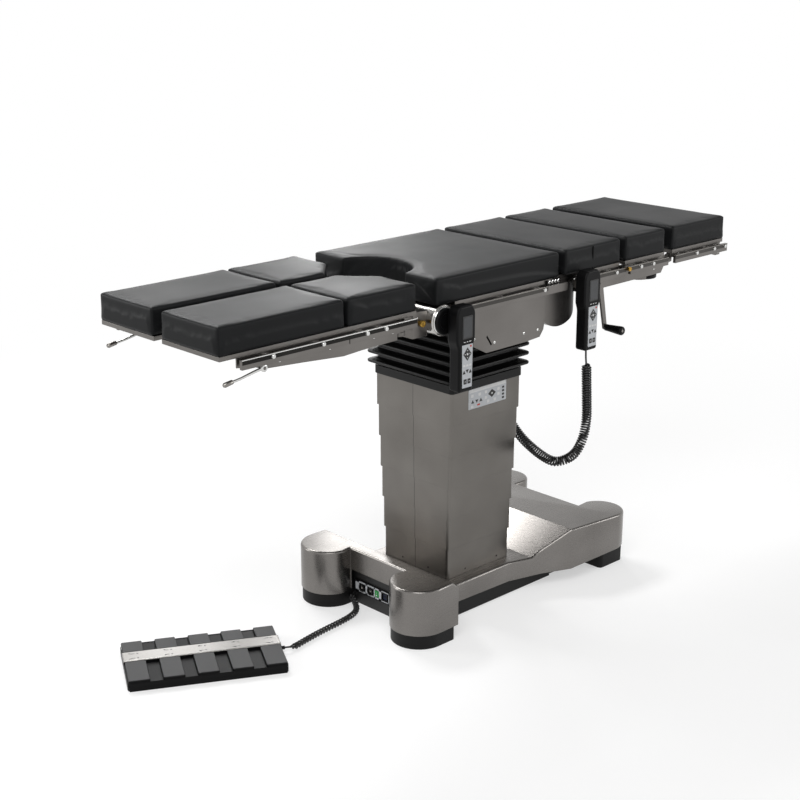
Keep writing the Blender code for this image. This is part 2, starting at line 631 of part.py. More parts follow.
def make_seat(roll):
    table = joint_point("slide_axis", (0, 0, TONGUE_Z[0]), roll)
    parts = [box((SEAT_X[0] + 0.004, SEAT_PAN_END), (-HALF_PAN, HALF_PAN), (PAN_BOTTOM, PAN_TOP))]
    cuts = [disc((CUTOUT_X, 0.0), CUTOUT_RADIUS, "Z", *THROUGH, 48)]
    sweep_z = BACK_AXIS_Z + 0.021
    for side in (-1, 1):
        parts.append(box((SEAT_X[0] + 0.006, BACK_AXIS_X), span(side, BEAM_IN, BEAM_OUT),
                         (BEAM_Z[0], BEAM_Z[1] + SMALL)))
        cuts.append(box((BACK_AXIS_X - 0.059, 0.30), span(side, BEAM_IN - 0.01, BEAM_OUT + 0.01),
                        (sweep_z, PAN_BOTTOM + 0.0005)))
        cuts.append(box((-0.4, 0.3), span(side, BEAM_IN - 0.01, GROOVE_WALL),
                        (TONGUE_Z[0] - GAP, TONGUE_Z[1] + GAP)))
        cuts.append(box((-0.4, KNEE_X + DRUM_RADIUS + 0.004), span(side, BEAM_OUT + 0.0005, HALF_TOP),
                        THROUGH))
    frame = combine(combine(parts[0], parts[1:], "UNION"), cuts, "DIFFERENCE")
    late = []
    for side in (-1, 1):
        hip = (BACK_AXIS_X, BACK_AXIS_Z)
        late.append(disc(hip, HIP_LUG_RADIUS, "Y", *span(side, GROOVE_WALL, BEAM_OUT), 32))
        late.append(disc(hip, HIP_PIN_RADIUS, "Y", *span(side, BEAM_OUT - 0.002, HIP_ARM[1] + 0.003)))
        late.append(disc((KNEE_X, KNEE_Z), KNEE_PIN_RADIUS, "Y", *span(side, GROOVE_WALL, KNEE_PIN_END)))
    node("seat_frame", table, "stainless", [frame, *late])

    seat = [(SEAT_X[0], -HALF_TOP), (SEAT_X[1], -HALF_TOP), (SEAT_X[1], HALF_TOP), (SEAT_X[0], HALF_TOP)]
    cushion = prism(seat, "Z", *CUSHION_Z)
    soften(cushion, CUSHION_EDGE, 1)
    node("seat_cushion", table, "leatherette", [cushion], [
        disc((CUTOUT_X, 0.0), CUTOUT_RADIUS, "Z", *THROUGH, 48)])

    skirt = under([(-0.232, GAP), (-0.232, 0.037), (-0.243, 0.092), (-0.158, 0.134), (-0.092, 0.168),
                   (0.082, 0.167), (0.144, 0.163), (0.160, 0.142), (0.166, 0.112), (0.166, GAP)])
    slot = under([(-0.094, 0.119), (-0.073, 0.149), (-0.068, 0.146), (-0.089, 0.116)])
    for side, word in ((-1, "near"), (1, "far")):
        node("seat_skirt_" + word, table, "stainless", [prism(skirt, "Y", *span(side, PLATE_IN, PLATE_OUT))],
             [prism(slot, "Y", *span(side, PLATE_IN - 0.01, PLATE_OUT + 0.01))])
        cover = disc((BACK_AXIS_X, BACK_AXIS_Z), HIP_COVER_RADIUS, "Y",
                     *span(side, HIP_COVER_IN, HIP_COVER_OUT), 48)
        turn_y = side * (HIP_COVER_OUT - HIP_TURN_RADIUS)
        turned = combine(cover, [disc((HIP_TURN_X, turn_y), HIP_TURN_RADIUS, "Z", *THROUGH, 72)], "INTERSECT")
        step_x = SEAT_PAN_END + RUN
        above = [(0.0, PAN_BOTTOM - GAP), (step_x, PAN_BOTTOM - GAP), (step_x, PAN_TOP), (0.45, PAN_TOP),
                 (0.45, THROUGH[1]), (0.0, THROUGH[1])]
        shelf_y = span(side, HIP_COVER_OUT - HIP_SHELF_DEPTH, HIP_COVER_OUT)
        shelf = box((step_x, HIP_SHELF_END), shelf_y, (PAN_BOTTOM - 0.004, PAN_TOP))
        node("back_joint_cover_" + word, table, "dark_steel", [turned, shelf], [
            prism(above, "Y", *span(side, HIP_COVER_IN - 0.05, HALF_TOP))])
        rail = [box((-0.2415, 0.237), span(side, RAIL_IN, RAIL_OUT), (RAIL_LOW, RAIL_HIGH))]
        stud_y = span(side, PLATE_OUT + GAP, RAIL_IN + SMALL)
        rail += [disc((x, STUD_Z), STUD_RADIUS, "Y", *stud_y, STUD_SIDES) for x in (-0.185, -0.030, 0.130)]
        node("seat_rail_" + word, table, "stainless", rail)
    return table


def leg_pan_outline(side, end_x, inner_x, edge):
    """Plan of a leg pan or cushion; the inner corner by the crotch is cut off."""
    points = [(end_x, edge), (end_x, LEG_SPLIT), (CROTCH_X, LEG_SPLIT), (inner_x, CROTCH_Y), (inner_x, edge)]
    return [(x, side * y) for x, y in points]


def make_leg(table, side, word):
    pitch = joint_point(f"leg_pitch_{word}_axis", (KNEE_X, side * 0.21, KNEE_Z), table)
    swing_at = (SWING_X, side * SWING_Y)
    block = box(BLOCK_X, span(side, *BLOCK_Y), BLOCK_Z)
    soften(block, 0.004, 1)
    lugs = []
    for low, high in ((BARREL_Z[0], BARREL_Z[0] + LUG_THICKNESS), (BARREL_Z[1] - LUG_THICKNESS, BARREL_Z[1])):
        tongue = [(SWING_X + along, side * (SWING_Y - inward)) for along, inward in KNEE_TONGUE]
        lugs.append(prism(tongue, "Z", low, high))
        lugs.append(disc(swing_at, BARREL_RADIUS, "Z", low, high, 20))
    parts = [
        disc((KNEE_X, KNEE_Z), DRUM_RADIUS, "Y", *span(side, DRUM_IN, DRUM_OUT), 32),
        disc((KNEE_X, KNEE_Z), CAP_RADIUS, "Y", *span(side, DRUM_OUT - 0.002, CAP_OUT), 32),
        block,
        *lugs,
        disc(swing_at, SWING_PIN_RADIUS, "Z", BARREL_Z[0] + SMALL, BARREL_Z[1] - SMALL, 16),
    ]
    node("leg_joint_" + word, pitch, "stainless", parts, [
        disc((KNEE_X, KNEE_Z), KNEE_PIN_RADIUS + GAP, "Y", *span(side, DRUM_IN - 0.01, KNEE_PIN_END + SMALL)),
        disc((LOCK_X, KNEE_Z), LOCK_RADIUS + GAP, "Y",
             *span(side, BLOCK_Y[1] - LOCK_DEPTH - SMALL, BLOCK_Y[1] + 0.01), 16),
    ])
    lock = joint_point(f"leg_lock_{word}_axis", (LOCK_X, side * BLOCK_Y[1], KNEE_Z), pitch)
    knob = BLOCK_Y[1] + GAP
    node("leg_lock_pin_" + word, lock, "brass", [
        disc((LOCK_X, KNEE_Z), LOCK_RADIUS, "Y", *span(side, BLOCK_Y[1] - LOCK_DEPTH, knob + 0.002), 16),
        disc((LOCK_X, KNEE_Z), 0.0075, "Y", *span(side, knob, knob + 0.006), 20),
        disc((LOCK_X, KNEE_Z), 0.010, "Y", *span(side, knob + 0.005, knob + 0.014), 20),
    ])

    swing = joint_point(f"leg_swing_{word}_axis", (SWING_X, side * SWING_Y, KNEE_Z), pitch)
    plan = leg_pan_outline(side, LEG_OUTER_X[0] + 0.004, LEG_INNER_X[1] - 0.003, HALF_PAN)
    pan = prism(plan, "Z", PAN_BOTTOM, PAN_TOP)
    skirt = under([(-1.007, -SMALL), (-1.007, 0.029), (-0.957, 0.035), (-0.920, 0.048), (-0.788, 0.057),
                   (-0.650, 0.068), (-0.582, 0.064), (-0.4525, 0.061), (-0.4525, -SMALL)])
    barrel_z = (BARREL_Z[0] + LUG_THICKNESS + GAP, BARREL_Z[1] - LUG_THICKNESS - GAP)
    parts = [
        pan,
        prism(skirt, "Y", *span(side, PLATE_IN, PLATE_OUT)),
        box((-0.4825, -0.440), span(side, SWING_Y - 0.008, PLATE_OUT), barrel_z),
        disc(swing_at, BARREL_RADIUS - 0.001, "Z", *barrel_z, 20),
        box((-1.010, -0.400), span(side, RAIL_IN, RAIL_OUT), (RAIL_LOW, RAIL_HIGH)),
        disc((LEVER_X, LEVER_Z), LEVER_PIN_RADIUS, "Y", *span(side, PLATE_IN + SMALL, PLATE_OUT + 0.0135),
             STUD_SIDES),
    ]
    parts += [disc((x, STUD_Z), STUD_RADIUS, "Y", *span(side, PLATE_IN + SMALL, RAIL_IN + SMALL), STUD_SIDES)
              for x in (-0.911, -0.743, -0.588, -0.519)]
    node("leg_frame_" + word, swing, "stainless", parts, [
        disc(swing_at, SWING_PIN_RADIUS + GAP, "Z", BARREL_Z[0] - SMALL, BARREL_Z[1] + SMALL, 16),
        box((-0.652, -0.649), span(side, RAIL_IN - 0.005, RAIL_OUT + 0.01),
            (RAIL_LOW - 0.01, PAN_BOTTOM - SMALL)),
    ])
    for name, ends in (("outer", LEG_OUTER_X), ("inner", LEG_INNER_X)):
        if name == "outer":
            y = span(side, LEG_SPLIT, HALF_TOP)
            pad = box(ends, y, CUSHION_Z)
        else:
            outline = leg_pan_outline(side, ends[0], ends[1], HALF_TOP)
            pad = prism(outline, "Z", *CUSHION_Z)
        soften(pad, CUSHION_EDGE, 2)
        node(f"leg_{name}_cushion_{word}", swing, "leatherette", [pad])

    lever = joint_point(f"leg_lever_{word}_axis", (LEVER_X, side * PLATE_OUT, LEVER_Z), swing)
    along = Vector((LEVER_TIP[0] - LEVER_X, LEVER_TIP[1] - LEVER_Z)).normalized()
    across = Vector((-along.y, along.x)) * 0.004
    start = Vector((LEVER_X, LEVER_Z)) + along * 0.006
    end = Vector(LEVER_TIP)
    arm = [tuple(start + across), tuple(end + across), tuple(end - across), tuple(start - across)]
    hub = (PLATE_OUT + GAP, PLATE_OUT + 0.013)
    node("leg_lever_" + word, lever, "black_plastic", [
        disc((LEVER_X, LEVER_Z), 0.010, "Y", *span(side, *hub), 20),
        prism(arm, "Y", *span(side, hub[0] + 0.002, hub[1] - 0.003)),
        soften(disc(LEVER_TIP, 0.009, "Y", *span(side, hub[0] - 0.006, hub[1] + 0.001), 16), 0.002, 1),
    ], [disc((LEVER_X, LEVER_Z), LEVER_PIN_RADIUS + GAP, "Y", *span(side, PLATE_IN, RAIL_OUT), 12)])


def make_back(table):
    back = joint_point("back_axis", (BACK_AXIS_X, 0, BACK_AXIS_Z), table)
    parts = [
        box((BACK_X[0] + 0.002, BACK_X[1] - 0.002), (-HALF_PAN, HALF_PAN), (PAN_BOTTOM, PAN_TOP)),
        box(CROSS_X, (-PLATE_IN - SMALL, PLATE_IN + SMALL), CROSS_Z),
    ]
    cuts = []
    for side in (-1, 1):
        plate = under([(0.743, GAP), (0.298, GAP), (0.272, 0.012), (0.276, 0.016), (0.424, 0.071),
                       (0.445, 0.060), (0.739, 0.058), (0.752, 0.038)])
        plate += arc((NECK_X, NECK_Z), NECK_EAR_RADIUS, -60, 90, 8)
        parts.append(prism(plate, "Y", *span(side, PLATE_IN, PLATE_OUT)))
        parts.append(box((BACK_X[0] + 0.004, BACK_X[1] - 0.004), span(side, PLATE_IN, PLATE_OUT),
                         (PAN_BOTTOM - 0.010, PAN_BOTTOM + SMALL)))
        arm = [(BACK_AXIS_X, BACK_AXIS_Z - HIP_ARM_RADIUS), (CROSS_X[0] + 0.01, CROSS_Z[0]),
               (CROSS_X[0] + 0.01, CROSS_Z[1]), *arc((BACK_AXIS_X, BACK_AXIS_Z), HIP_ARM_RADIUS, 90, 270, 12)]
        parts.append(prism(arm, "Y", *span(side, *HIP_ARM)))
        parts.append(disc((NECK_X, NECK_Z), NECK_PIN_RADIUS, "Y",
                          *span(side, PLATE_IN - 0.010, PLATE_IN + SMALL), 12))
        parts.append(box((0.276, 0.521), span(side, RAIL_IN, RAIL_OUT), (RAIL_LOW, RAIL_HIGH)))
        parts.append(box((0.544, 0.742), span(side, RAIL_IN, RAIL_OUT), (RAIL_LOW, RAIL_HIGH)))
        stud_y = span(side, PLATE_IN + SMALL, RAIL_IN + SMALL)
        for x in (0.360, 0.472, 0.596, 0.660):
            parts.append(disc((x, STUD_Z), STUD_RADIUS, "Y", *stud_y, STUD_SIDES))
        parts.append(box((0.5205, 0.5445), span(side, PLATE_IN + SMALL, RAIL_OUT + SMALL),
                         (RAIL_HIGH - 0.014, RAIL_HIGH + 0.0025)))
        cuts.append(disc((BACK_AXIS_X, BACK_AXIS_Z), HIP_PIN_RADIUS + GAP, "Y",
                         *span(side, BEAM_OUT - 0.005, HIP_ARM[1] + 0.005)))
    knob_at = (KNOB_X, -PLATE_IN + KNOB_RADIUS + 0.009)
    parts.append(disc(knob_at, KNOB_RADIUS, "Z", PAN_BOTTOM - 0.074, PAN_BOTTOM - 0.060))
    parts.append(disc(knob_at, 0.010, "Z", PAN_BOTTOM - 0.062, PAN_BOTTOM + SMALL, 16))
    cuts += [
        disc((CRANK_X, BACK_AXIS_Z), CRANK_SHAFT_RADIUS + GAP, "Y", -HALF_TOP, -CRANK_SHAFT_END, 16),
        box((BRIDGE_POST_X - BRIDGE_POST_HALF - GAP, BRIDGE_POST_X + BRIDGE_POST_HALF + GAP),
            (-BRIDGE_POST_HALF - GAP, BRIDGE_POST_HALF + GAP), (CROSS_Z[0] - 0.01, CROSS_Z[1] + 0.01)),
    ]
    node("back_frame", back, "stainless", parts, cuts)
    pad = box(BACK_X, (-HALF_TOP, HALF_TOP), CUSHION_Z)
    node("back_cushion", back, "leatherette", [soften(pad, CUSHION_EDGE, 2)])

    bridge = joint_point("bridge_axis", (BRIDGE_POST_X, 0, CROSS_Z[1]), back)
    node("bridge_plate", bridge, "stainless", [
        box(BRIDGE_X, (-HALF_PAN, HALF_PAN), (PAN_BOTTOM, PAN_TOP)),
        box((BRIDGE_POST_X - BRIDGE_POST_HALF, BRIDGE_POST_X + BRIDGE_POST_HALF),
            (-BRIDGE_POST_HALF, BRIDGE_POST_HALF), (BRIDGE_POST_END, PAN_BOTTOM + SMALL)),
    ])
    pad = box(LUMBAR_X, (-HALF_TOP, HALF_TOP), CUSHION_Z)
    node("lumbar_cushion", bridge, "leatherette", [soften(pad, CUSHION_EDGE, 2)])

    crank = joint_point("crank_axis", (CRANK_X, -CRANK_ARM[0], BACK_AXIS_Z), back)
    along = Vector((CRANK_END[0] - CRANK_X, CRANK_END[1] - BACK_AXIS_Z)).normalized()
    angle = math.degrees(math.atan2(along.y, along.x))
    arm = arc(CRANK_END, 0.008, angle - 90, angle + 90, 8)
    arm += arc((CRANK_X, BACK_AXIS_Z), CRANK_HUB_RADIUS, angle + 90, angle + 270, 8)
    grip = disc(CRANK_END, GRIP_RADIUS, "Y", -CRANK_ARM[1] - GRIP_LENGTH, -CRANK_ARM[1] + SMALL)
    node("bridge_crank", crank, "black_plastic", [
        disc((CRANK_X, BACK_AXIS_Z), CRANK_SHAFT_RADIUS, "Y", SMALL - CRANK_ARM[1], -CRANK_SHAFT_END - GAP,
             16),
        prism(arm, "Y", -CRANK_ARM[1], -CRANK_ARM[0]),
        soften(grip, 0.004, 2),
    ])

    neck = joint_point("head_axis", (NECK_X, 0, NECK_Z), back)
    parts = [box((HEAD_X[0] + 0.004, HEAD_X[1] - 0.004), (-HALF_PAN, HALF_PAN), (PAN_BOTTOM, PAN_TOP))]
    for side in (-1, 1):
        plate = under([(0.7835, -SMALL), (0.7835, 0.014), (0.820, 0.018), (0.862, 0.033), (1.001, 0.033),
                       (1.041, 0.045), (1.066, 0.045), (1.066, -SMALL)])
        parts.append(prism(plate, "Y", *span(side, PLATE_IN, PLATE_OUT)))
        ear = [*arc((NECK_X, NECK_Z), 0.013, 90, 270, 8), (0.800, NECK_Z - 0.006),
               (0.800, PAN_BOTTOM + SMALL), (0.7835, PAN_BOTTOM + SMALL)]
        parts.append(prism(ear, "Y", *span(side, PLATE_IN - 0.0085, PLATE_IN - 0.0005)))
        parts.append(box((0.784, 0.800), span(side, PLATE_IN - 0.008, PLATE_IN + 0.002),
                         (PAN_BOTTOM - 0.013, PAN_BOTTOM + SMALL)))
        parts.append(box((0.780, 1.0705), span(side, RAIL_IN, RAIL_OUT), (RAIL_LOW, RAIL_HIGH)))
        stud_y = span(side, PLATE_IN + SMALL, RAIL_IN + SMALL)
        parts += [disc((x, STUD_Z), STUD_RADIUS, "Y", *stud_y, STUD_SIDES) for x in (0.896, 0.994, 1.056)]
    node("head_frame", neck, "stainless", parts, [
        disc((NECK_X, NECK_Z), NECK_PIN_RADIUS + GAP, "Y", *span(side, PLATE_IN - 0.012, PLATE_IN), 16)
        for side in (-1, 1)])
    pad = box(HEAD_X, (-HALF_TOP, HALF_TOP), CUSHION_Z)
    node("head_cushion", neck, "leatherette", [soften(pad, CUSHION_EDGE, 2)])
    return back


def make_handset(name, carrier, x, high, hook_left):
    """Pendant with a wide rounded top and a narrower grip; its hook lies over the rail."""
    middle = x + HANDSET_WIDTH / 2
    low = high - HANDSET_HEIGHT
    wide = HANDSET_WIDTH / 2
    narrow = wide - 0.009
    waist = high - HANDSET_HEAD
    body = [(middle - narrow, low + 0.008), (middle - narrow + 0.008, low), (middle + narrow - 0.008, low),
            (middle + narrow, low + 0.008), (middle + narrow, waist), (middle + wide, waist + 0.035)]
    body += arc((middle, high - 0.030), wide, 0, 180, 10)[1:-1]
    body = [(px, min(pz, high)) for px, pz in body]
    body += [(middle - wide, waist + 0.035), (middle - narrow, waist)]
    shell = prism(body, "Y", -HANDSET_OUT, -HANDSET_IN)
    soften(shell, 0.005, 2, 50)
    grip = joint_point(name + "_axis", (middle, -HANDSET_IN, low), carrier)
    hook_top = RAIL_HIGH + GAP + HOOK_THICKNESS
    hook = [(-HANDSET_IN - 0.002, hook_top), (-HANDSET_IN - 0.002, RAIL_HIGH + GAP),
            (-HOOK_IN - HOOK_THICKNESS, RAIL_HIGH + GAP), (-HOOK_IN - HOOK_THICKNESS, RAIL_HIGH - HOOK_DEPTH),
            (-HOOK_IN, RAIL_HIGH - HOOK_DEPTH), (-HOOK_IN, hook_top)]
    node(name, grip, "black_plastic", [shell, prism(hook, "X", x + hook_left, x + hook_left + HOOK_WIDTH)])


def make_foot_control(root):
    place = Matrix.Translation((*CONTROL_CENTRE, 0.0)) @ Matrix.Rotation(CONTROL_TURN, 4, "Z")

    def laid(thing):
        thing.data.transform(place)
        return thing

    pedals = [(i - (PEDALS - 1) / 2) * PEDAL_PITCH for i in range(PEDALS)]
    half_u, half_v = CONTROL_HALF_LENGTH, CONTROL_HALF_WIDTH
    slot_half = PEDAL_WIDTH / 2 + PEDAL_SIDE
    parts = [
        soften(prism(rounded(half_u, half_v, 0.012), "Z", 0.0, CONTROL_DECK), 0.002, 1),
        box((-half_u, half_u), STRIP, (0.020, RIDGE_TOP)),
        disc((CORD_GLAND_V, CORD_GLAND_Z), 0.0055, "X", half_u - SMALL, half_u + CORD_GLAND_LENGTH, 16),
    ]
    cuts = [box((u - slot_half, u + slot_half), (-0.2, 0.2), (CONTROL_FLOOR, 0.1)) for u in pedals]
    base = combine(combine(parts[0], parts[1:], "UNION"), cuts, "DIFFERENCE")
    ribs = [box((u - slot_half - 0.001, u + slot_half + 0.001), (PEDAL_AXIS_V - 0.002, PEDAL_AXIS_V + 0.002),
                (CONTROL_FLOOR - 0.001, PEDAL_UNDER - GAP)) for u in pedals]
    base = combine(base, ribs, "UNION")
    node("foot_control_base", root, "black_plastic", [laid(base)])
    strip = soften(box((-half_u, half_u), STRIP, (RIDGE_TOP + GAP, STRIP_TOP)), 0.002, 2)
    node("foot_control_strip", root, "chrome", [laid(strip)])
    for k, u in enumerate(pedals):
        wide = (u - PEDAL_WIDTH / 2, u + PEDAL_WIDTH / 2)
        near = soften(box(wide, (-half_v + 0.0015, STRIP[0] - 0.002), (PEDAL_UNDER, PEDAL_TOP)), 0.002, 1)
        far = soften(box(wide, (STRIP[1] + 0.002, half_v - 0.0015), (PEDAL_UNDER, PEDAL_TOP)), 0.002, 1)
        link_v = (STRIP[0] - 0.010, STRIP[1] + 0.010)
        link = box((u - 0.022, u + 0.022), link_v, (PEDAL_UNDER, PEDAL_LINK_TOP))
        rocker = combine(near, [link, far], "UNION")
        spot = place @ Vector((u, PEDAL_AXIS_V, PEDAL_UNDER))
        axis = joint_point(f"pedal_{k + 1}_axis", spot, root)
        node(f"pedal_{k + 1}", axis, "black_plastic", [laid(rocker)])


def smooth_route(points, step):
    """Points at an even spacing on a Catmull-Rom curve through the route's own points."""
    route = [Vector(p[:3]) for p in points]
    size = [p[3] for p in points]
    route = [route[0] * 2 - route[1]] + route + [route[-1] * 2 - route[-2]]
    dense = []
    for i in range(1, len(route) - 2):
        p0, p1, p2, p3 = route[i - 1:i + 3]
        count = max(1, round((p2 - p1).length / step))
        for n in range(count):
            t = n / count
            place = 0.5 * (2 * p1 + (p2 - p0) * t + (2 * p0 - 5 * p1 + 4 * p2 - p3) * t * t
                           + (3 * p1 - p0 - 3 * p2 + p3) * t ** 3)
            ease = t * t * (3 - 2 * t)
            dense.append((place, size[i - 1] + (size[i] - size[i - 1]) * ease))
    dense.append((route[-2], size[-1]))
    return dense


def make_cord(name, carrier, points, step):
    route = smooth_route(points, step)
    widest = max(radius for place, radius in route)
    curve = bpy.data.curves.new(name, "CURVE")
    curve.dimensions = "3D"
    curve.bevel_depth = widest
    curve.bevel_resolution = 2
    curve.use_fill_caps = True
    spline = curve.splines.new("POLY")
    spline.points.add(len(route) - 1)
    for point, (place, radius) in zip(spline.points, route):
        point.co = (*place, 1.0)
        point.radius = radius / widest
    curve.materials.append(finish(name + "_rubber", *FINISHES["rubber"]))
    thing = bpy.data.objects.new(name, curve)
    bpy.context.collection.objects.link(thing)
    thing.parent = carrier
    thing.matrix_parent_inverse = carrier.matrix_world.inverted()


def make_cords(root, lift):
    place = Matrix.Translation((*CONTROL_CENTRE, 0.0)) @ Matrix.Rotation(CONTROL_TURN, 4, "Z")
    end = place @ Vector((CONTROL_HALF_LENGTH + CORD_GLAND_LENGTH + 2 * GAP, CORD_GLAND_V, CORD_GLAND_Z))
    before = place @ Vector((CONTROL_HALF_LENGTH + 0.025, CORD_GLAND_V, CORD_GLAND_Z))
    thin, fat = CORD_RADIUS, FOOT_COIL_RADIUS
    make_cord("foot_cord", root, [
        (CHASSIS_FRONT - GLAND_LENGTH - 2 * GAP, GLAND_Y, GLAND_Z, thin), (-0.305, GLAND_Y, GLAND_Z, thin),
        (-0.322, 0.105, 0.025, thin), (-0.345, 0.064, 0.014, fat),
        (-0.389, 0.022, 0.0105, fat), (-0.440, 0.003, 0.0105, fat), (-0.493, -0.002, 0.0105, fat),
        (-0.545, 0.002, 0.0105, fat), (-0.590, 0.006, 0.0105, fat), (-0.628, 0.003, 0.011, thin),
        (*before, thin), (*end, thin)], FOOT_CORD_STEP)
    low = HANDSET_TOP[1] - HANDSET_HEIGHT - GAP
    fat = HAND_COIL_RADIUS
    face = COLUMN_X + SLEEVE_HIGH_HALF[0] + SOCKET_LENGTH + 2 * GAP
    make_cord("handset_cord", lift, [
        (0.3055, -0.300, low, thin), (0.307, -0.300, 0.780, thin), (0.314, -0.300, 0.753, fat),
        (0.322, -0.300, 0.690, fat),
        (0.326, -0.300, 0.630, fat), (0.323, -0.300, 0.575, fat), (0.312, -0.299, 0.527, fat),
        (0.286, -0.297, 0.486, fat), (0.250, -0.290, 0.462, fat), (0.220, -0.270, 0.452, fat),
        (0.203, -0.235, 0.453, fat), (0.200, -0.190, 0.470, fat), (0.200, -0.145, 0.505, fat),
        (0.203, -0.105, 0.555, fat), (0.203, -0.070, 0.610, fat), (0.196, -0.052, 0.648, thin),
        (0.180, SOCKET_Y, SOCKET_Z, thin), (face, SOCKET_Y, SOCKET_Z, thin)], HAND_CORD_STEP)


def main():
    clear_scene()
    root = joint_point("table_origin", (0, 0, 0))
    make_base(root)
    lift = make_column(root)
    roll = make_tilt_gear(lift)
    table = make_seat(roll)
    for side, word in ((-1, "near"), (1, "far")):
        make_leg(table, side, word)
    back = make_back(table)
    make_handset("handset_1", table, HANDSET_X[0], HANDSET_TOP[0], HANDSET_WIDTH - HOOK_WIDTH - 0.0035)
    make_handset("handset_2", back, HANDSET_X[1], HANDSET_TOP[1], (HANDSET_WIDTH - HOOK_WIDTH) / 2)
    make_foot_control(root)
    make_cords(root, lift)


main()
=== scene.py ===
# %% [markdown]
# # An operating table, finished in Blender
# The construction is done elsewhere: every frame, plate and joint comes in at its real size. This lesson
# gives each surface its finish and replaces what needs a finer form: the cushions, cords, bellows, sleeves
# and handsets. Lengths are metres. The head end is +X, the near side is -Y, and the floor is z = 0.

# %% Load the construction
import bmesh
import bpy
import math
from mathutils import Matrix, Vector


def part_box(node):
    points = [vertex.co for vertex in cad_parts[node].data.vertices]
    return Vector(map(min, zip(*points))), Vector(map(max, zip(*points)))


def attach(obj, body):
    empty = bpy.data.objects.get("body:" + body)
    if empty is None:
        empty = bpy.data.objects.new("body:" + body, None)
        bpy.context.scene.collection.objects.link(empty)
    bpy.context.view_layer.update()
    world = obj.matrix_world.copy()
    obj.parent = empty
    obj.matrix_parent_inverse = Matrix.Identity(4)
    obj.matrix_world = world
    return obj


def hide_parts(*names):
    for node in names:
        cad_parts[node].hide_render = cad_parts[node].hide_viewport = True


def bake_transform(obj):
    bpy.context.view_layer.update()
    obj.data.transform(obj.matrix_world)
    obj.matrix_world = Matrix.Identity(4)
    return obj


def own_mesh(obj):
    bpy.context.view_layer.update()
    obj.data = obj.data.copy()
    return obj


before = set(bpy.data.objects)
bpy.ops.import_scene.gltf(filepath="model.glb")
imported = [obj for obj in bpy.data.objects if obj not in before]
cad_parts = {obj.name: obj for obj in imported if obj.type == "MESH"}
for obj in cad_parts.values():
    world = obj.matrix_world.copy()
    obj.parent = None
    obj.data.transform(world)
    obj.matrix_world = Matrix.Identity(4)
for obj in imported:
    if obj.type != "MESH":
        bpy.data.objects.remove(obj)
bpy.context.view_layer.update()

# %% [markdown]
# ## Camera
# The view looks down the table from the leg end. A long lens keeps the far end nearly as large as the near
# one, which is why catalogue pictures of long furniture look calm. The camera could be turned by three
# angles. It is aimed with a direction vector, because that can be read and changed more easily.

# %% Place the camera
CAMERA_PLACE = Vector((-3.228, -3.143, 2.055))
CAMERA_FORWARD = Vector((0.6615, 0.6869, -0.3011))
CAMERA_LENS_MM = 68.155

lens = bpy.data.cameras.new("camera")
lens.lens = CAMERA_LENS_MM
lens.sensor_width = 36.0
lens.clip_end = 200.0
camera = bpy.data.objects.new("camera", lens)
camera.location = CAMERA_PLACE
camera.rotation_euler = CAMERA_FORWARD.to_track_quat("-Z", "Y").to_euler()
bpy.context.collection.objects.link(camera)
bpy.context.scene.camera = camera
bpy.context.scene.view_settings.view_transform = "Standard"
print("camera looks down", round(math.degrees(math.asin(-CAMERA_FORWARD.z)), 1), "degrees")

# %% [markdown]
# ## Colours and nodes
# A hex code is what a paint chart or a colour picker gives. The shader works with linear light, so one
# function turns the code into linear values. Another small function adds any shader node, sets its inputs
# and draws the links, so that a material reads as a short list of what the surface is made of.

# %% Two helpers for materials
def srgb(code):
    """A hex colour as linear red, green, blue and alpha."""
    parts = [int(code[i:i + 2], 16) / 255 for i in (1, 3, 5)]
    return (*[p / 12.92 if p <= 0.04045 else ((p + 0.055) / 1.055) ** 2.4 for p in parts], 1.0)


def add(tree, kind, inputs=(), **settings):
    """Adds a shader node. An input is a value, or the socket of another node to link."""
    node = tree.nodes.new("ShaderNode" + kind)
    for name, value in settings.items():
        setattr(node, name, value)
    for name, value in dict(inputs).items():
        if isinstance(value, bpy.types.NodeSocket):
            tree.links.new(value, node.inputs[name])
        else:
            node.inputs[name].default_value = value
    return node


def new_material(name):
    """An empty material and its node tree."""
    made = bpy.data.materials.new(name)
    made.use_nodes = True
    made.node_tree.nodes.clear()
    return made, made.node_tree


print("white is", [round(v, 2) for v in srgb("#ffffff")])

# %% [markdown]
# ## Studio
# The floor is one large disc. Near the table it takes the soft shadow, and further out it fades to plain
# white, so that no edge shows. The white comes from the colour that the camera, mirrors and glass see, by
# Light Path, and not from more light on the object. Steel then reflects a pale room, as it does in a real
# studio.

# %% Floor
FLOOR_RADIUS = 90.0
FADE_START = 1.2
FADE_END = 3.6
FLOOR_OWN_SHARE = 0.50      # the part of the floor's white that shadows can darken
FLOOR_PAINT = 0.53          # its paint is a little brighter than that share, to even out the lamps


def seen_directly(tree):
    """1 for rays from the camera, mirrors and glass, and 0 for rays that only carry light."""
    path = add(tree, "LightPath")
    both = add(tree, "Math", {0: path.outputs["Is Camera Ray"], 1: path.outputs["Is Glossy Ray"]},
               operation="MAXIMUM")
    return add(tree, "Math", {0: both.outputs[0], 1: path.outputs["Is Transmission Ray"]},
               operation="MAXIMUM")


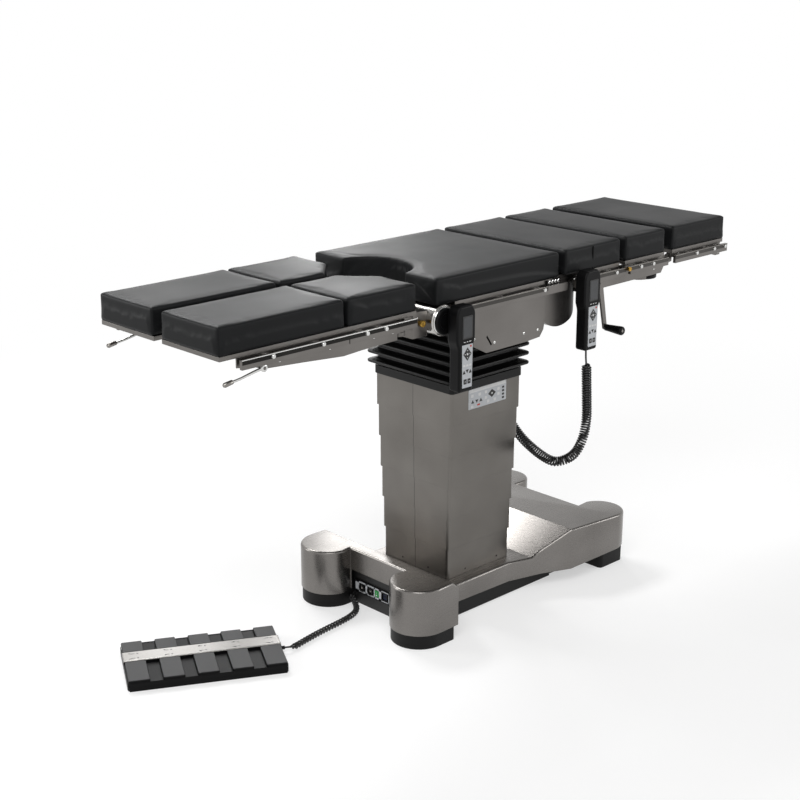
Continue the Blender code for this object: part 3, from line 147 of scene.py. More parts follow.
floor_white, tree = new_material("studio_floor")
seen = seen_directly(tree)
place = add(tree, "TexCoord")
far = add(tree, "VectorMath", {0: place.outputs["Object"]}, operation="LENGTH")
fade = add(tree, "MapRange", {"Value": far.outputs["Value"], "From Min": FADE_START, "From Max": FADE_END,
                              "To Min": 1.0 - FLOOR_OWN_SHARE, "To Max": 1.0},
           interpolation_type="SMOOTHSTEP")
glow = add(tree, "Math", {0: fade.outputs["Result"], 1: seen.outputs[0]}, operation="MULTIPLY")
own = add(tree, "MapRange", {"Value": far.outputs["Value"], "From Min": FADE_START, "From Max": FADE_END,
                             "To Min": 1.0, "To Max": 0.0},
          interpolation_type="SMOOTHSTEP")
matt = add(tree, "BsdfDiffuse", {"Color": (FLOOR_PAINT,) * 3 + (1.0,)})
black = add(tree, "BsdfDiffuse", {"Color": (0.0, 0.0, 0.0, 1.0)})
ground = add(tree, "MixShader", {"Fac": own.outputs["Result"], 1: black.outputs[0], 2: matt.outputs[0]})
light = add(tree, "Emission", {"Color": srgb("#ffffff"), "Strength": glow.outputs[0]})
both = add(tree, "AddShader", {0: ground.outputs[0], 1: light.outputs[0]})
add(tree, "OutputMaterial", {"Surface": both.outputs[0]})

shape = bmesh.new()
bmesh.ops.create_circle(shape, cap_ends=True, segments=96, radius=FLOOR_RADIUS)
sheet = bpy.data.meshes.new("studio_floor")
shape.to_mesh(sheet)
shape.free()
floor = bpy.data.objects.new("studio_floor", sheet)
floor.data.materials.append(floor_white)
bpy.context.collection.objects.link(floor)
print("floor of", FLOOR_RADIUS, "m, fading to white from", FADE_START, "m")

# %% [markdown]
# The world is a white room with a darker ceiling. Flat steel that faces up would shine like paper under a
# white one. The light that it sends out is set apart from what the camera sees, again by Light Path.

# %% World
AMBIENT = 0.34
OVERHEAD = 0.30             # the dark ceiling that polished steel shows
CEILING_FROM = 0.42         # heights on the unit sphere where the ceiling starts and is complete
CEILING_TO = 0.75
world = bpy.data.worlds.new("studio")
bpy.context.scene.world = world
world.use_nodes = True
tree = world.node_tree
tree.nodes.clear()
seen = seen_directly(tree)
place = add(tree, "TexCoord")
height = add(tree, "SeparateXYZ", {0: place.outputs["Generated"]})
ceiling = add(tree, "MapRange", {"Value": height.outputs["Z"], "From Min": CEILING_FROM,
                                 "From Max": CEILING_TO, "To Min": 1.0, "To Max": OVERHEAD},
              interpolation_type="SMOOTHSTEP")
level = add(tree, "MapRange", {"Value": seen.outputs[0], "To Min": AMBIENT,
                               "To Max": ceiling.outputs["Result"]})
room = add(tree, "Background", {"Color": srgb("#ffffff"), "Strength": level.outputs["Result"]})
add(tree, "OutputWorld", {"Surface": room.outputs[0]})
print("room light", AMBIENT, "under a ceiling of", OVERHEAD)

# %% [markdown]
# ## Lamps
# Soft boxes: a key from the front left, a fill from the right, and four behind the table that are placed by
# what mirrors them. The back one is seen in the far front lobe, the corner one in the leg cushions and the
# foot control's strip, and the top one in the ramps. The side one is seen twice over, by the base and then
# by the column, and lights the column's foot. The seat and the head mirror none of them and stay dark.

# %% Soft boxes
def soft_box(name, place, aim, size, watts):
    """A rectangular area lamp at a place, turned to what it is aimed at."""
    data = bpy.data.lights.new(name, "AREA")
    data.shape = "RECTANGLE"
    data.size, data.size_y = size
    data.energy = watts
    lamp = bpy.data.objects.new(name, data)
    lamp.location = place
    lamp.rotation_euler = (Vector(aim) - Vector(place)).to_track_quat("-Z", "Y").to_euler()
    bpy.context.collection.objects.link(lamp)


soft_box("key", (-2.6, -2.2, 4.2), (0.0, 0.0, 0.6), (2.6, 2.6), 105)
soft_box("fill", (3.2, -3.4, 1.9), (0.2, 0.0, 0.3), (1.5, 1.5), 40)
soft_box("back", (2.85, 3.72, 2.9), (0.0, 0.0, 0.9), (0.55, 3.0), 32)
soft_box("corner", (1.94, 4.44, 2.5), (0.0, 0.0, 0.9), (0.7, 2.0), 6)
soft_box("top", (0.15, 3.25, 3.95), (0.0, 0.0, 0.1), (1.9, 1.0), 100)
soft_box("side", (-3.3, 3.45, 1.9), (0.0, 0.0, 0.5), (1.6, 1.6), 55)

# %% [markdown]
# ## Steel, chrome and brass
# Rolled stainless steel is brushed on a belt, which leaves fine parallel scratches. The grain is real at
# about 0.1 mm, too fine for a picture of the whole table, so it is drawn at 1.5 mm and kept faint. A noise
# texture that is squeezed across the grain and stretched along it gives such lines. The Bevel node rounds
# the shading at sharp edges, which is how a folded or deburred sheet catches a thin line of light.

# %% Brushed and plain metals
GRAIN_MM = 1.5              # drawn coarser than the real 0.1 mm, so that it shows
GRAIN_STRETCH = 60          # a brush line is this many times longer than it is wide
CAST_GRAIN = 8              # a turned or cast surface has soft clouds, this many grains wide
GRAIN_TONE = 0.12
CLOUD_SCALE = 5.0           # cloudy patches of about 0.2 m, from handling and polish
METAL_BUMP = 0.02
# The dark brown grey of the painted shade that fade mixes in
HIP_SHADE_TONE = "#1f1e1d"


def metal(name, dark, light, roughness, along=None, edge_mm=1.0, scratch=0.02, fade=None):
    """along is the axis of the brush lines, or None for a turned or cast surface. fade paints shade: it
    darkens the colour along X.
    """
    made, tree = new_material(name)
    spot = add(tree, "TexCoord")
    fine = 1000 / GRAIN_MM
    scale = [fine if axis != along else fine / GRAIN_STRETCH for axis in "XYZ"]
    if along is None:
        scale = [fine / CAST_GRAIN] * 3
    laid = add(tree, "Mapping", {"Vector": spot.outputs["Object"], "Scale": scale})
    grain = add(tree, "TexNoise", {"Vector": laid.outputs[0], "Scale": 1.0, "Detail": 3.0, "Roughness": 0.6})
    cloud = add(tree, "TexNoise", {"Vector": spot.outputs["Object"], "Scale": CLOUD_SCALE, "Detail": 2.0})
    blend = add(tree, "Math", {0: grain.outputs["Fac"], 1: GRAIN_TONE, 2: cloud.outputs["Fac"]},
                operation="MULTIPLY_ADD")
    tone = add(tree, "MapRange", {"Value": blend.outputs[0], "From Min": 0.4, "From Max": 0.8})
    colour = add(tree, "Mix", {0: tone.outputs["Result"], 6: srgb(dark), 7: srgb(light)}, data_type="RGBA")
    # Painted shade: the colour is mixed towards a dark tone between two places along X
    if fade:
        place = add(tree, "SeparateXYZ", {0: spot.outputs["Object"]})
        share = add(tree, "MapRange", {"Value": place.outputs["X"], "From Min": fade[0], "From Max": fade[1]},
                    interpolation_type="SMOOTHSTEP")
        colour = add(tree, "Mix", {0: share.outputs["Result"], 6: colour.outputs[2], 7: srgb(HIP_SHADE_TONE)},
                     data_type="RGBA")
    rough = add(tree, "MapRange", {"Value": grain.outputs["Fac"], "From Min": 0.3, "From Max": 0.7,
                                   "To Min": roughness - scratch, "To Max": roughness + scratch})
    rim = add(tree, "Bevel", {"Radius": edge_mm / 1000}, samples=4)
    bump = add(tree, "Bump", {"Height": grain.outputs["Fac"], "Strength": METAL_BUMP, "Distance": 0.0002,
                              "Normal": rim.outputs[0]})
    shader = add(tree, "BsdfPrincipled", {"Base Color": colour.outputs[2], "Metallic": 1.0,
                                          "Roughness": rough.outputs["Result"], "Normal": bump.outputs[0]})
    add(tree, "OutputMaterial", {"Surface": shader.outputs[0]})
    return made


print("the metal recipe draws its grain at", GRAIN_MM, "mm")

# %% [markdown]
# Each metal of the table is the same recipe with its own tone, gloss and direction of brushing. The tones
# are those of warm grey stainless steel under studio light. A plated or polished part is lighter and
# glossier, and a blackened one keeps only a dull sheen.

# %% The metals of this table
# Folded sleeves brushed upwards: a soft upright streak, no mirror.
STEEL_SLEEVE = metal("brushed_stainless_upright", "#6a6763", "#76736f", 0.36, "Z")
# Pressed cover, ground finer: it mirrors the room in broad bands and has wide round edges.
STEEL_COVER = metal("brushed_stainless_cover", "#73706d", "#7f7c79", 0.28, "X", edge_mm=2.5)
# Laser-cut plates brushed along the table: an even satin grey.
STEEL_FRAME = metal("satin_stainless_plate", "#6b6865", "#787572", 0.34, "X")
# The same plate with painted shade where it bends away from the lamps: it falls to a dark brown grey towards
# the head end.
STEEL_HIP = metal("stainless_painted_shade", "#6b6865", "#787572", 0.34, "X", fade=(0.235, 0.300))
# Turned pins and tips: fine rings, a small sharp highlight. On the rails of the seat, back and head it is
# also the band of painted highlight.
TURNED_STEEL_AND_HIGHLIGHT = metal("turned_stainless_and_painted_highlight", "#7f7c78", "#8f8c88", 0.22)
# The drum: turned steel in a tone lighter than the other turned parts, which paints in the highlight on its
# top. Nearly white where it faces the lamps.
DRUM_STEEL = metal("drum_painted_highlight", "#b4b2af", "#c2c0bd", 0.20)
# Chemically blackened steel: dark with a dull sheen. On the leg rails it is also the band of painted shade.
STEEL_BLACKED_AND_SHADE = metal("blackened_steel_and_painted_shade", "#232221", "#2e2d2b", 0.42)
# Painted shade on the outer face of the rails of the seat, back and head, where little light reaches: a mid
# grey.
RAIL_SHADE_GREY = metal("rail_painted_shade", "#42403e", "#4c4a47", 0.40)
# Chrome plate on turned parts: a clear mirror with small bright points.
CHROME = metal("chrome_plate", "#c9c9c7", "#d8d8d6", 0.07, scratch=0.01)
# Polished flat bar: bright, with a faint grain along it.
STRIP_STEEL = metal("polished_strip", "#989693", "#a4a29f", 0.20, "X")
# Painted highlight: near-white metal that stands for the light on the upper edge of a rail, one thin white
# line. The polished balls of the index block use it too.
BRIGHT_POLISH_AND_HIGHLIGHT = metal("polish_and_painted_highlight", "#dededc", "#e6e6e4", 0.12, scratch=0.01)
# Turned brass, unlacquered: a warm yellow with a soft highlight.
BRASS = metal("turned_brass", "#a8843c", "#c0a055", 0.26)
print("twelve metals are ready")

# %% [markdown]
# ## Plastics, rubber, paint and leatherette
# These share one recipe: a dark base, a grain that comes from how the surface was made, and a gloss between
# silk and matt. The cushion cover is polyurethane on a knitted fabric. Its embossed grain is about 0.8 mm
# wide and is drawn at 1.6 mm. The edges of a moulding are rounder than they are modelled, so its shading is
# rounded.

# %% The recipe for non-metals
SKIN_CLOUD_SCALE = 4.0      # patches of about 0.25 m, from handling and wiping
SKIN_BUMP = 0.35


def skin(name, dark, light, roughness, grain_mm, bump_mm, ior=1.5, edge_mm=0.0, cells=False):
    """A surface with a fine random grain. cells gives the closed pebbles of embossed leather."""
    made, tree = new_material(name)
    spot = add(tree, "TexCoord")
    grain = add(tree, "TexNoise", {"Vector": spot.outputs["Object"], "Scale": 1000 / grain_mm, "Detail": 4.0})
    height = grain.outputs["Fac"]
    if cells:
        pebble = add(tree, "TexVoronoi", {"Vector": spot.outputs["Object"], "Scale": 1000 / grain_mm},
                     feature="SMOOTH_F1")
        height = pebble.outputs["Distance"]
    cloud = add(tree, "TexNoise", {"Vector": spot.outputs["Object"], "Scale": SKIN_CLOUD_SCALE,
                                   "Detail": 3.0})
    mixed = add(tree, "Math", {0: grain.outputs["Fac"], 1: cloud.outputs["Fac"]}, operation="ADD")
    tone = add(tree, "MapRange", {"Value": mixed.outputs[0], "From Min": 0.75, "From Max": 1.25})
    colour = add(tree, "Mix", {0: tone.outputs["Result"], 6: srgb(dark), 7: srgb(light)}, data_type="RGBA")
    rough = add(tree, "MapRange", {"Value": cloud.outputs["Fac"], "From Min": 0.3, "From Max": 0.7,
                                   "To Min": roughness - 0.04, "To Max": roughness + 0.04})
    bump = add(tree, "Bump", {"Height": height, "Strength": SKIN_BUMP, "Distance": bump_mm / 1000})
    if edge_mm:
        rim = add(tree, "Bevel", {"Radius": edge_mm / 1000}, samples=4)
        tree.links.new(rim.outputs[0], bump.inputs["Normal"])
    shader = add(tree, "BsdfPrincipled", {"Base Color": colour.outputs[2],
                                          "Roughness": rough.outputs["Result"],
                                          "IOR": ior, "Normal": bump.outputs[0]})
    add(tree, "OutputMaterial", {"Surface": shader.outputs[0]})
    return made


print("the recipe for non-metals has patches of", 1 / SKIN_CLOUD_SCALE, "m")

# %% [markdown]
# The soft and moulded surfaces follow. A black material in a white room is grey by what it reflects, so
# most of them have a lower IOR than the solid plastic, which stands for the micro texture that swallows
# part of the gloss.

# %% The non-metals of this table
# Polyurethane leatherette: closed pebbles, a wide grey sheen where it faces the lamps.
LEATHERETTE = skin("pu_leatherette", "#121314", "#18191a", 0.46, 1.6, 0.10, ior=1.22, cells=True)
# Bonded seam with its thread: a dull black line.
THREAD = skin("black_thread", "#050505", "#0a0a0a", 0.8, 1.0, 0.1, ior=1.2)
# Moulded rubber feet: matt, with soft edges.
RUBBER = skin("moulded_rubber", "#090909", "#0f0f0f", 0.50, 1.2, 0.05, ior=1.3, edge_mm=0.8)
# Extruded cord sheath: smooth, so that each turn has its own small highlight.
CORD_RUBBER = skin("extruded_rubber", "#0a0a0a", "#101010", 0.32, 2.0, 0.02, ior=1.5)
# Dipped rubber bellows: nearly black, with a faint gloss on the pleats.
BELLOWS_RUBBER = skin("dipped_rubber", "#050505", "#090909", 0.38, 3.0, 0.08, ior=1.3)
# Injection-moulded ABS with a fine spark-eroded texture: an even dark grey.
ABS_BLACK = skin("abs_fine_texture", "#070708", "#0c0c0d", 0.40, 0.9, 0.06, ior=1.22, edge_mm=0.8)
# Foamed polyurethane pads on the pedals: matt and lighter than the housing.
PAD_GREY = skin("pad_polyurethane", "#2f2f30", "#39393a", 0.55, 1.5, 0.08, ior=1.4, edge_mm=1.0)
# Cast iron under black enamel: slightly wavy.
CASTING = skin("enamelled_casting", "#0c0c0c", "#131313", 0.45, 2.5, 0.12, edge_mm=1.5)
# Glass over a display that is off: glossy dark grey.
DISPLAY = skin("display_glass", "#3a3c3f", "#404245", 0.12, 30.0, 0.0)
# Screen-printed polyester foil: a cool light grey.
FOIL = skin("printed_polyester_foil", "#c9ccd0", "#d5d8db", 0.35, 2.0, 0.02)
# Printing inks: flat and even.
PRINT_WHITE = skin("white_print", "#e6e6e6", "#eeeeee", 0.45, 2.0, 0.01)
PRINT_BLACK = skin("black_print", "#0a0a0a", "#101010", 0.40, 2.0, 0.01)
PRINT_RED = skin("red_print", "#c0392f", "#cc4338", 0.40, 2.0, 0.01)
# Polycarbonate rocker: a clear saturated green with some gloss.
GREEN = skin("green_polycarbonate", "#0d8a3a", "#12a045", 0.25, 3.0, 0.01)
# Nylon of the appliance inlet: a dark blue.
BLUE = skin("blue_nylon", "#1c2542", "#242f50", 0.40, 1.5, 0.03)
print("leatherette, rubber, plastics and prints are ready")

# %% [markdown]
# ## Making solids
# Every finer piece is skinned through rings of points. An extrusion is two rings, a turned piece is a stack
# of circles, and a tube is a row of circles along a path. Blender's own primitives could be edited to the
# same forms, but one function for all three keeps the rest short and works from the piece's own profile.

# %% Rings and outlines
AXIS_RADIUS = 0.0002        # a profile that ends on its axis closes with a tiny flat
PLACE = {
    "X": lambda a, b, t: (t, a, b),
    "Y": lambda a, b, t: (a, t, b),
    "Z": lambda a, b, t: (a, b, t),
}


def loft(shape, rings, paint=0, closed=False):
    """Skins rings of equal count. The ends are capped, or joined to each other when closed."""
    loops = [[shape.verts.new(p) for p in ring] for ring in rings]
    count = len(loops[0])
    pairs = list(zip(loops, loops[1:]))
    if closed:
        pairs.append((loops[-1], loops[0]))
    for a, b in pairs:
        for i in range(count):
            shape.faces.new((a[i], a[(i + 1) % count], b[(i + 1) % count], b[i])).material_index = paint
    if not closed:
        shape.faces.new(loops[0][::-1]).material_index = paint
        shape.faces.new(loops[-1]).material_index = paint


def arc(centre, radius, start, end, steps):
    """Points on a circle from one angle to another, in degrees, both ends included."""
    angles = [math.radians(start + (end - start) * i / steps) for i in range(steps + 1)]
    return [(centre[0] + radius * math.cos(t), centre[1] + radius * math.sin(t)) for t in angles]


def rounded(half_a, half_b, corner, steps=8, centre=(0.0, 0.0)):
    """A rectangle with round corners, anticlockwise."""
    points = []
    for sa, sb, start in ((1, 1, 0), (-1, 1, 90), (-1, -1, 180), (1, -1, 270)):
        middle = (centre[0] + sa * (half_a - corner), centre[1] + sb * (half_b - corner))
        points += arc(middle, corner, start, start + 90, steps)
    return points


print("loft, arc and rounded draw the rings")

# %% [markdown]
# These three take a profile to a solid. All of them end in the same loft, so that their faces come out even
# and every end is capped.

# %% Extrusions, turnings and tubes
def extrude(shape, outline, axis, low, high, paint=0):
    """A prism along an axis. paint is the number of its material."""
    loft(shape, [[PLACE[axis](a, b, t) for a, b in outline] for t in (low, high)], paint)


def turn(shape, profile, axis, centre, steps=48, paint=0):
    """profile is (radius, place along the axis) from one end to the other."""
    last = 360 - 360 / steps
    rings = [[PLACE[axis](a, b, t) for a, b in arc(centre, max(radius, AXIS_RADIUS), 0, last, steps - 1)]
             for radius, t in profile]
    loft(shape, rings, paint)


def tube(shape, path, radii, sides=16, paint=0):
    """A round rod along a path, with a radius for each of its points."""
    path = [Vector(p) for p in path]
    ahead = (path[1] - path[0]).normalized()
    side = ahead.orthogonal().normalized()
    circle = arc((0, 0), 1, 0, 360 - 360 / sides, sides - 1)
    rings = []
    for i, (here, radius) in enumerate(zip(path, radii)):
        heading = (path[min(i + 1, len(path) - 1)] - path[max(i - 1, 0)]).normalized()
        side = (side - heading * side.dot(heading)).normalized()
        up = heading.cross(side)
        rings.append([here + (side * a + up * b) * radius for a, b in circle])
    loft(shape, rings, paint)


print("extrude, turn and tube make the shapes")

# %% [markdown]
# A finished piece is a mesh with its materials and its body, and it hides the construction's pieces that it
# replaces. Edges get a real bevel where they show. The flat faces stay flat, because the bevel hardens the
# normals, or else because the sharp edges are marked.

# %% Turn a shape into a piece
def make(name, shape, materials, body, replaces=(), bevel=0.0, segments=3, sharp=35):
    """A finished piece that rides on a body. The bellows has none."""
    bmesh.ops.recalc_face_normals(shape, faces=shape.faces)
    mesh = bpy.data.meshes.new(name)
    shape.to_mesh(mesh)
    shape.free()
    thing = bpy.data.objects.new(name, mesh)
    bpy.context.collection.objects.link(thing)
    for surface in materials if isinstance(materials, (list, tuple)) else [materials]:
        mesh.materials.append(surface)
    mesh.shade_smooth()
    if bevel:
        step = thing.modifiers.new("edges", "BEVEL")
        step.width = bevel
        step.segments = segments
        step.limit_method = "ANGLE"
        step.angle_limit = math.radians(sharp)
        step.harden_normals = True
    else:
        mesh.set_sharp_from_angle(angle=math.radians(sharp))
    if body:
        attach(thing, body)
    if replaces:
        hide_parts(*replaces)
    return thing


print("make() turns a shape into a piece")

# %% [markdown]
# ## Curly cords
# The foot control and the second handset hang on curly cords. Each route is a smooth curve through listed
# points. Where the route is marked thick, the cord winds round it as a helix, and where it is thin the cord
# runs straight into its gland. The turn advances with the distance along the route, so that the pitch stays
# even through the bends. A Screw modifier could wind a straight spring, but it can't follow a route.

# %% A helix round a smooth route
CORD_RADIUS = 0.003
HAND_PITCH = 0.0080
FOOT_PITCH = 0.0125
POINTS_PER_TURN = 14


def smooth_route(points, step):
    """Even steps on a Catmull-Rom curve: a list of place and coil radius."""
    route = [Vector(p[:3]) for p in points]
    size = [p[3] for p in points]
    route = [route[0] * 2 - route[1]] + route + [route[-1] * 2 - route[-2]]
    dense = []
    for i in range(1, len(route) - 2):
        p0, p1, p2, p3 = route[i - 1:i + 3]
        count = max(1, round((p2 - p1).length / step))
        for n in range(count):
            t = n / count
            spot = 0.5 * (2 * p1 + (p2 - p0) * t + (2 * p0 - 5 * p1 + 4 * p2 - p3) * t * t
                          + (3 * p1 - p0 - 3 * p2 + p3) * t ** 3)
            ease = t * t * (3 - 2 * t)
            dense.append((spot, size[i - 1] + (size[i] - size[i - 1]) * ease))
    dense.append((route[-2], size[-1]))
    return dense


def wind(points, pitch):
    """The cord's own centreline, wound round its route."""
    dense = smooth_route(points, pitch / POINTS_PER_TURN)
    side = (dense[1][0] - dense[0][0]).orthogonal().normalized()
    angle = 0.0
    line = []
    for i, (spot, radius) in enumerate(dense):
        before = dense[max(i - 1, 0)][0]
        after = dense[min(i + 1, len(dense) - 1)][0]
        heading = (after - before).normalized()
        side = (side - heading * side.dot(heading)).normalized()
        up = heading.cross(side)
        angle += 2 * math.pi * (spot - before).length / pitch
        reach = max(0.0, radius - CORD_RADIUS)
        line.append(spot + (side * math.cos(angle) + up * math.sin(angle)) * reach)
    return line


def curly_cord(name, points, pitch, body, node):
    """The cord as a curve with a round section."""
    line = wind(points, pitch)
    curve = bpy.data.curves.new(name, "CURVE")
    curve.dimensions = "3D"
    curve.bevel_depth = CORD_RADIUS
    curve.bevel_resolution = 2
    curve.use_fill_caps = True
    spline = curve.splines.new("POLY")
    spline.points.add(len(line) - 1)
    for point, spot in zip(spline.points, line):
        point.co = (*spot, 1.0)
    curve.materials.append(CORD_RUBBER)
    thing = bpy.data.objects.new(name, curve)
    bpy.context.collection.objects.link(thing)
    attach(thing, body)
    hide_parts(node)


print(POINTS_PER_TURN, "points for each turn")

# %% [markdown]
# The foot cord leaves the panel between the front lobes, drops to the floor and runs to the gland of the
# foot control. The handset's cord hangs in one long loop from the handset's foot to the socket behind the
# column. Each point of a route is a place and the radius of the coil there.

# %% The two cords
CONTROL_CENTRE = (-0.885, 0.113)
CONTROL_TURN = math.radians(-29)
CONTROL_PLACE = Matrix.Translation((*CONTROL_CENTRE, 0.0)) @ Matrix.Rotation(CONTROL_TURN, 4, "Z")
GLAND_V = 0.003
GLAND_Z = 0.0165
GLAND_END_U = 0.2406
SOCKET_Z = 0.628
THIN, FOOT_COIL, HAND_COIL = CORD_RADIUS, 0.010, 0.016

foot_route = [
    (-0.2973, 0.118, 0.030, THIN), (-0.302, 0.1175, 0.030, THIN),
    (-0.308, 0.106, 0.026, FOOT_COIL), (-0.324, 0.070, 0.0125, FOOT_COIL),
    (-0.352, 0.044, 0.0105, FOOT_COIL), (-0.391, 0.029, 0.0105, FOOT_COIL),
    (-0.443, 0.021, 0.0105, FOOT_COIL), (-0.497, 0.0157, 0.0105, FOOT_COIL),
    (-0.550, 0.009, 0.0105, FOOT_COIL), (-0.602, 0.0003, 0.0105, FOOT_COIL),
    (-0.636, -0.0055, 0.0105, FOOT_COIL),
    (*CONTROL_PLACE @ Vector((GLAND_END_U + 0.0137, GLAND_V, GLAND_Z)), THIN),
    (*CONTROL_PLACE @ Vector((GLAND_END_U + 0.0005, GLAND_V, GLAND_Z)), THIN),
]
hand_route = [
    (0.3055, -0.300, 0.7997, THIN), (0.3066, -0.300, 0.775, THIN), (0.3095, -0.300, 0.752, THIN),
    (0.3115, -0.300, 0.738, HAND_COIL), (0.3155, -0.300, 0.680, HAND_COIL),
    (0.3195, -0.300, 0.622, HAND_COIL), (0.321, -0.300, 0.568, HAND_COIL),
    (0.308, -0.300, 0.512, HAND_COIL), (0.276, -0.300, 0.472, HAND_COIL),
    (0.238, -0.294, 0.455, HAND_COIL), (0.2115, -0.268, 0.447, HAND_COIL),
    (0.203, -0.234, 0.454, HAND_COIL), (0.201, -0.190, 0.470, HAND_COIL),
    (0.199, -0.145, 0.494, HAND_COIL), (0.198, -0.105, 0.527, HAND_COIL),
    (0.196, -0.075, 0.566, HAND_COIL), (0.190, -0.056, 0.604, THIN), (0.180, -0.050, 0.623, THIN),
    (0.1656, -0.050, SOCKET_Z, THIN),
]
curly_cord("foot_control_cord", foot_route, FOOT_PITCH, "base", "foot_cord")
curly_cord("handset_curly_cord", hand_route, HAND_PITCH, "lift_head", "handset_cord")

# %% [markdown]
# ## Base cover
# The cover is one pressed and welded shell of stainless sheet: four round lobes over the feet, straight
# webs between them, and a dished middle that rises to both ends. It is drawn as the construction draws it,
# with finer arcs: the plan is extruded, the side outline is extruded across it, and what both share is the
# body. Only the upper rim is rounded, because the sheet is folded there and cut square at the bottom.

# %% Plan and side outlines of the cover
COVER_WALL = 0.003
COVER_EDGE = 0.0075
COVER_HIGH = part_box("base_cover")[1].z
COVER_LOW = 0.110
LOBE_FRONT = (-0.318, 0.203, 0.089)     # centre along the table, centre across it, and radius
LOBE_REAR = (0.518, 0.213, 0.079)
WEB_FRONT = (-0.301, 0.121)             # corner where the straight web meets the lobe
WEB_REAR = (0.495, 0.140)


def cover_plan():
    """Half of the plan, anticlockwise from the head end, and its mirror image."""
    x, y, radius = LOBE_REAR
    half = [(WEB_REAR[0], 0.0), WEB_REAR, *arc((x, y), radius, -75, 90, 26)]
    half += [(0.313, 0.268), (0.215, 0.222), (0.100, 0.186), (-0.185, 0.188)]
    x, y, radius = LOBE_FRONT
    half += [(-0.238, y + radius - 0.002), *arc((x, y), radius, 90, 260, 28)]
    half += [WEB_FRONT, (WEB_FRONT[0], 0.0)]
    return half + [(a, -b) for a, b in reversed(half[1:-1])]


def cover_side(lower):
    """The side outline. Lowered by a wall, and open below, it is the outline of the hollow."""
    top = [(0.62, COVER_HIGH), (0.313, COVER_HIGH), (0.185, COVER_LOW), (-0.150, COVER_LOW),
           (-0.262, COVER_HIGH), (-0.42, COVER_HIGH)]
    edge = [(-0.42, 0.045), (-0.235, 0.045), (-0.150, 0.052), (0.100, 0.046), (0.310, 0.051), (0.62, 0.076)]
    if lower:
        edge = [(-0.42, -0.01), (0.62, -0.01)]
    return edge + [(x, z - lower) for x, z in top]


print("the plan of the cover has", len(cover_plan()), "points")

# %% [markdown]
# A Boolean modifier cuts one solid with another. The edges of a folded sheet could be rounded by a Bevel
# modifier on all sharp edges. Here only the rim between top and sides is picked, by the slope of the faces
# on both sides of an edge.

# %% Helpers for cutting and rounding
def inset(outline, distance):
    """The outline moved inward with mitred corners."""
    moved = []
    for i, here in enumerate(outline):
        a = (Vector(here) - Vector(outline[i - 1])).normalized()
        b = (Vector(outline[(i + 1) % len(outline)]) - Vector(here)).normalized()
        normal = Vector((-a.y - b.y, a.x + b.x)).normalized()
        scale = max(0.35, normal.dot(Vector((-a.y, a.x))))      # a sharp corner doesn't run away
        moved.append(tuple(Vector(here) + normal * (distance / scale)))
    return moved


def helper(outline, axis, low, high):
    """A solid that only serves a Boolean."""
    shape = bmesh.new()
    extrude(shape, outline, axis, low, high)
    bmesh.ops.recalc_face_normals(shape, faces=shape.faces)
    mesh = bpy.data.meshes.new("helper")
    shape.to_mesh(mesh)
    shape.free()
    thing = bpy.data.objects.new("helper", mesh)
    bpy.context.collection.objects.link(thing)
    return thing


def settle(thing):
    """Applies a piece's modifiers to its mesh."""
    graph = bpy.context.evaluated_depsgraph_get()
    mesh = bpy.data.meshes.new_from_object(thing.evaluated_get(graph))
    thing.modifiers.clear()
    thing.data = mesh


def boolean(base, cutter, operation):
    """Cuts or keeps with an exact Boolean, and removes the cutter."""
    step = base.modifiers.new("step", "BOOLEAN")
    step.operation = operation
    step.solver = "EXACT"
    step.object = cutter
    bpy.context.view_layer.update()
    settle(base)
    bpy.data.objects.remove(cutter, do_unlink=True)


def round_rim(thing, width, segments):
    """Rounds the edges between a top face and a side face."""
    work = bmesh.new()
    work.from_mesh(thing.data)
    work.normal_update()
    rim = []
    for edge in work.edges:
        slopes = sorted(face.normal.z for face in edge.link_faces)
        if len(slopes) == 2 and slopes[1] > 0.6 and abs(slopes[0]) < 0.3:
            rim.append(edge)
    bmesh.ops.bevel(work, geom=rim, offset=width, segments=segments, profile=0.5, affect="EDGES",
                    clamp_overlap=True)
    work.to_mesh(thing.data)
    work.free()


print("inset, helper, settle, boolean and round_rim do the cutting")

# %% [markdown]
# The body is the plan extruded upwards, cut by the side outline extruded across. The hollow is made the
# same way one wall smaller and taken out. Then come the mouth for the lowest sleeve and the two bays at the
# ends, where the web is open below. The front bay holds the socket panel.

# %% Cut the cover from its outlines
ACROSS = 0.4                # half the width of a cutter that passes through the whole base
MOUTH_GAP = 0.0006
BAY_TOP = 0.115
BAY_FRONT_X = (-0.45, -0.27)
BAY_REAR_X = (0.45, 0.62)
cover = helper(cover_plan(), "Z", 0.0, 0.3)
boolean(cover, helper(cover_side(0.0), "Y", -ACROSS, ACROSS), "INTERSECT")
round_rim(cover, COVER_EDGE, 5)
hollow = helper(inset(cover_plan(), COVER_WALL + 0.001), "Z", -0.02, 0.3)
boolean(hollow, helper(cover_side(COVER_WALL), "Y", -ACROSS, ACROSS), "INTERSECT")
boolean(cover, hollow, "DIFFERENCE")
low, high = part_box("column_sleeve_1")
centre = ((low.x + high.x) / 2, (low.y + high.y) / 2)
mouth = rounded((high.x - low.x) / 2 + MOUTH_GAP, (high.y - low.y) / 2 + MOUTH_GAP, 0.0106, 8, centre)
boolean(cover, helper(mouth, "Z", COVER_LOW - 0.02, COVER_HIGH), "DIFFERENCE")
for (start, end), web in ((BAY_FRONT_X, WEB_FRONT), (BAY_REAR_X, WEB_REAR)):
    web_y = web[1] - COVER_WALL
    bay = helper([(start, -web_y), (end, -web_y), (end, web_y), (start, web_y)], "Z", -0.02, BAY_TOP)
    boolean(cover, bay, "DIFFERENCE")
cover.name = "cover_shell"
cover.data.materials.clear()
cover.data.materials.append(STEEL_COVER)
cover.data.shade_smooth()
cover.data.set_sharp_from_angle(angle=math.radians(28))
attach(cover, "base")
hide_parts("base_cover")
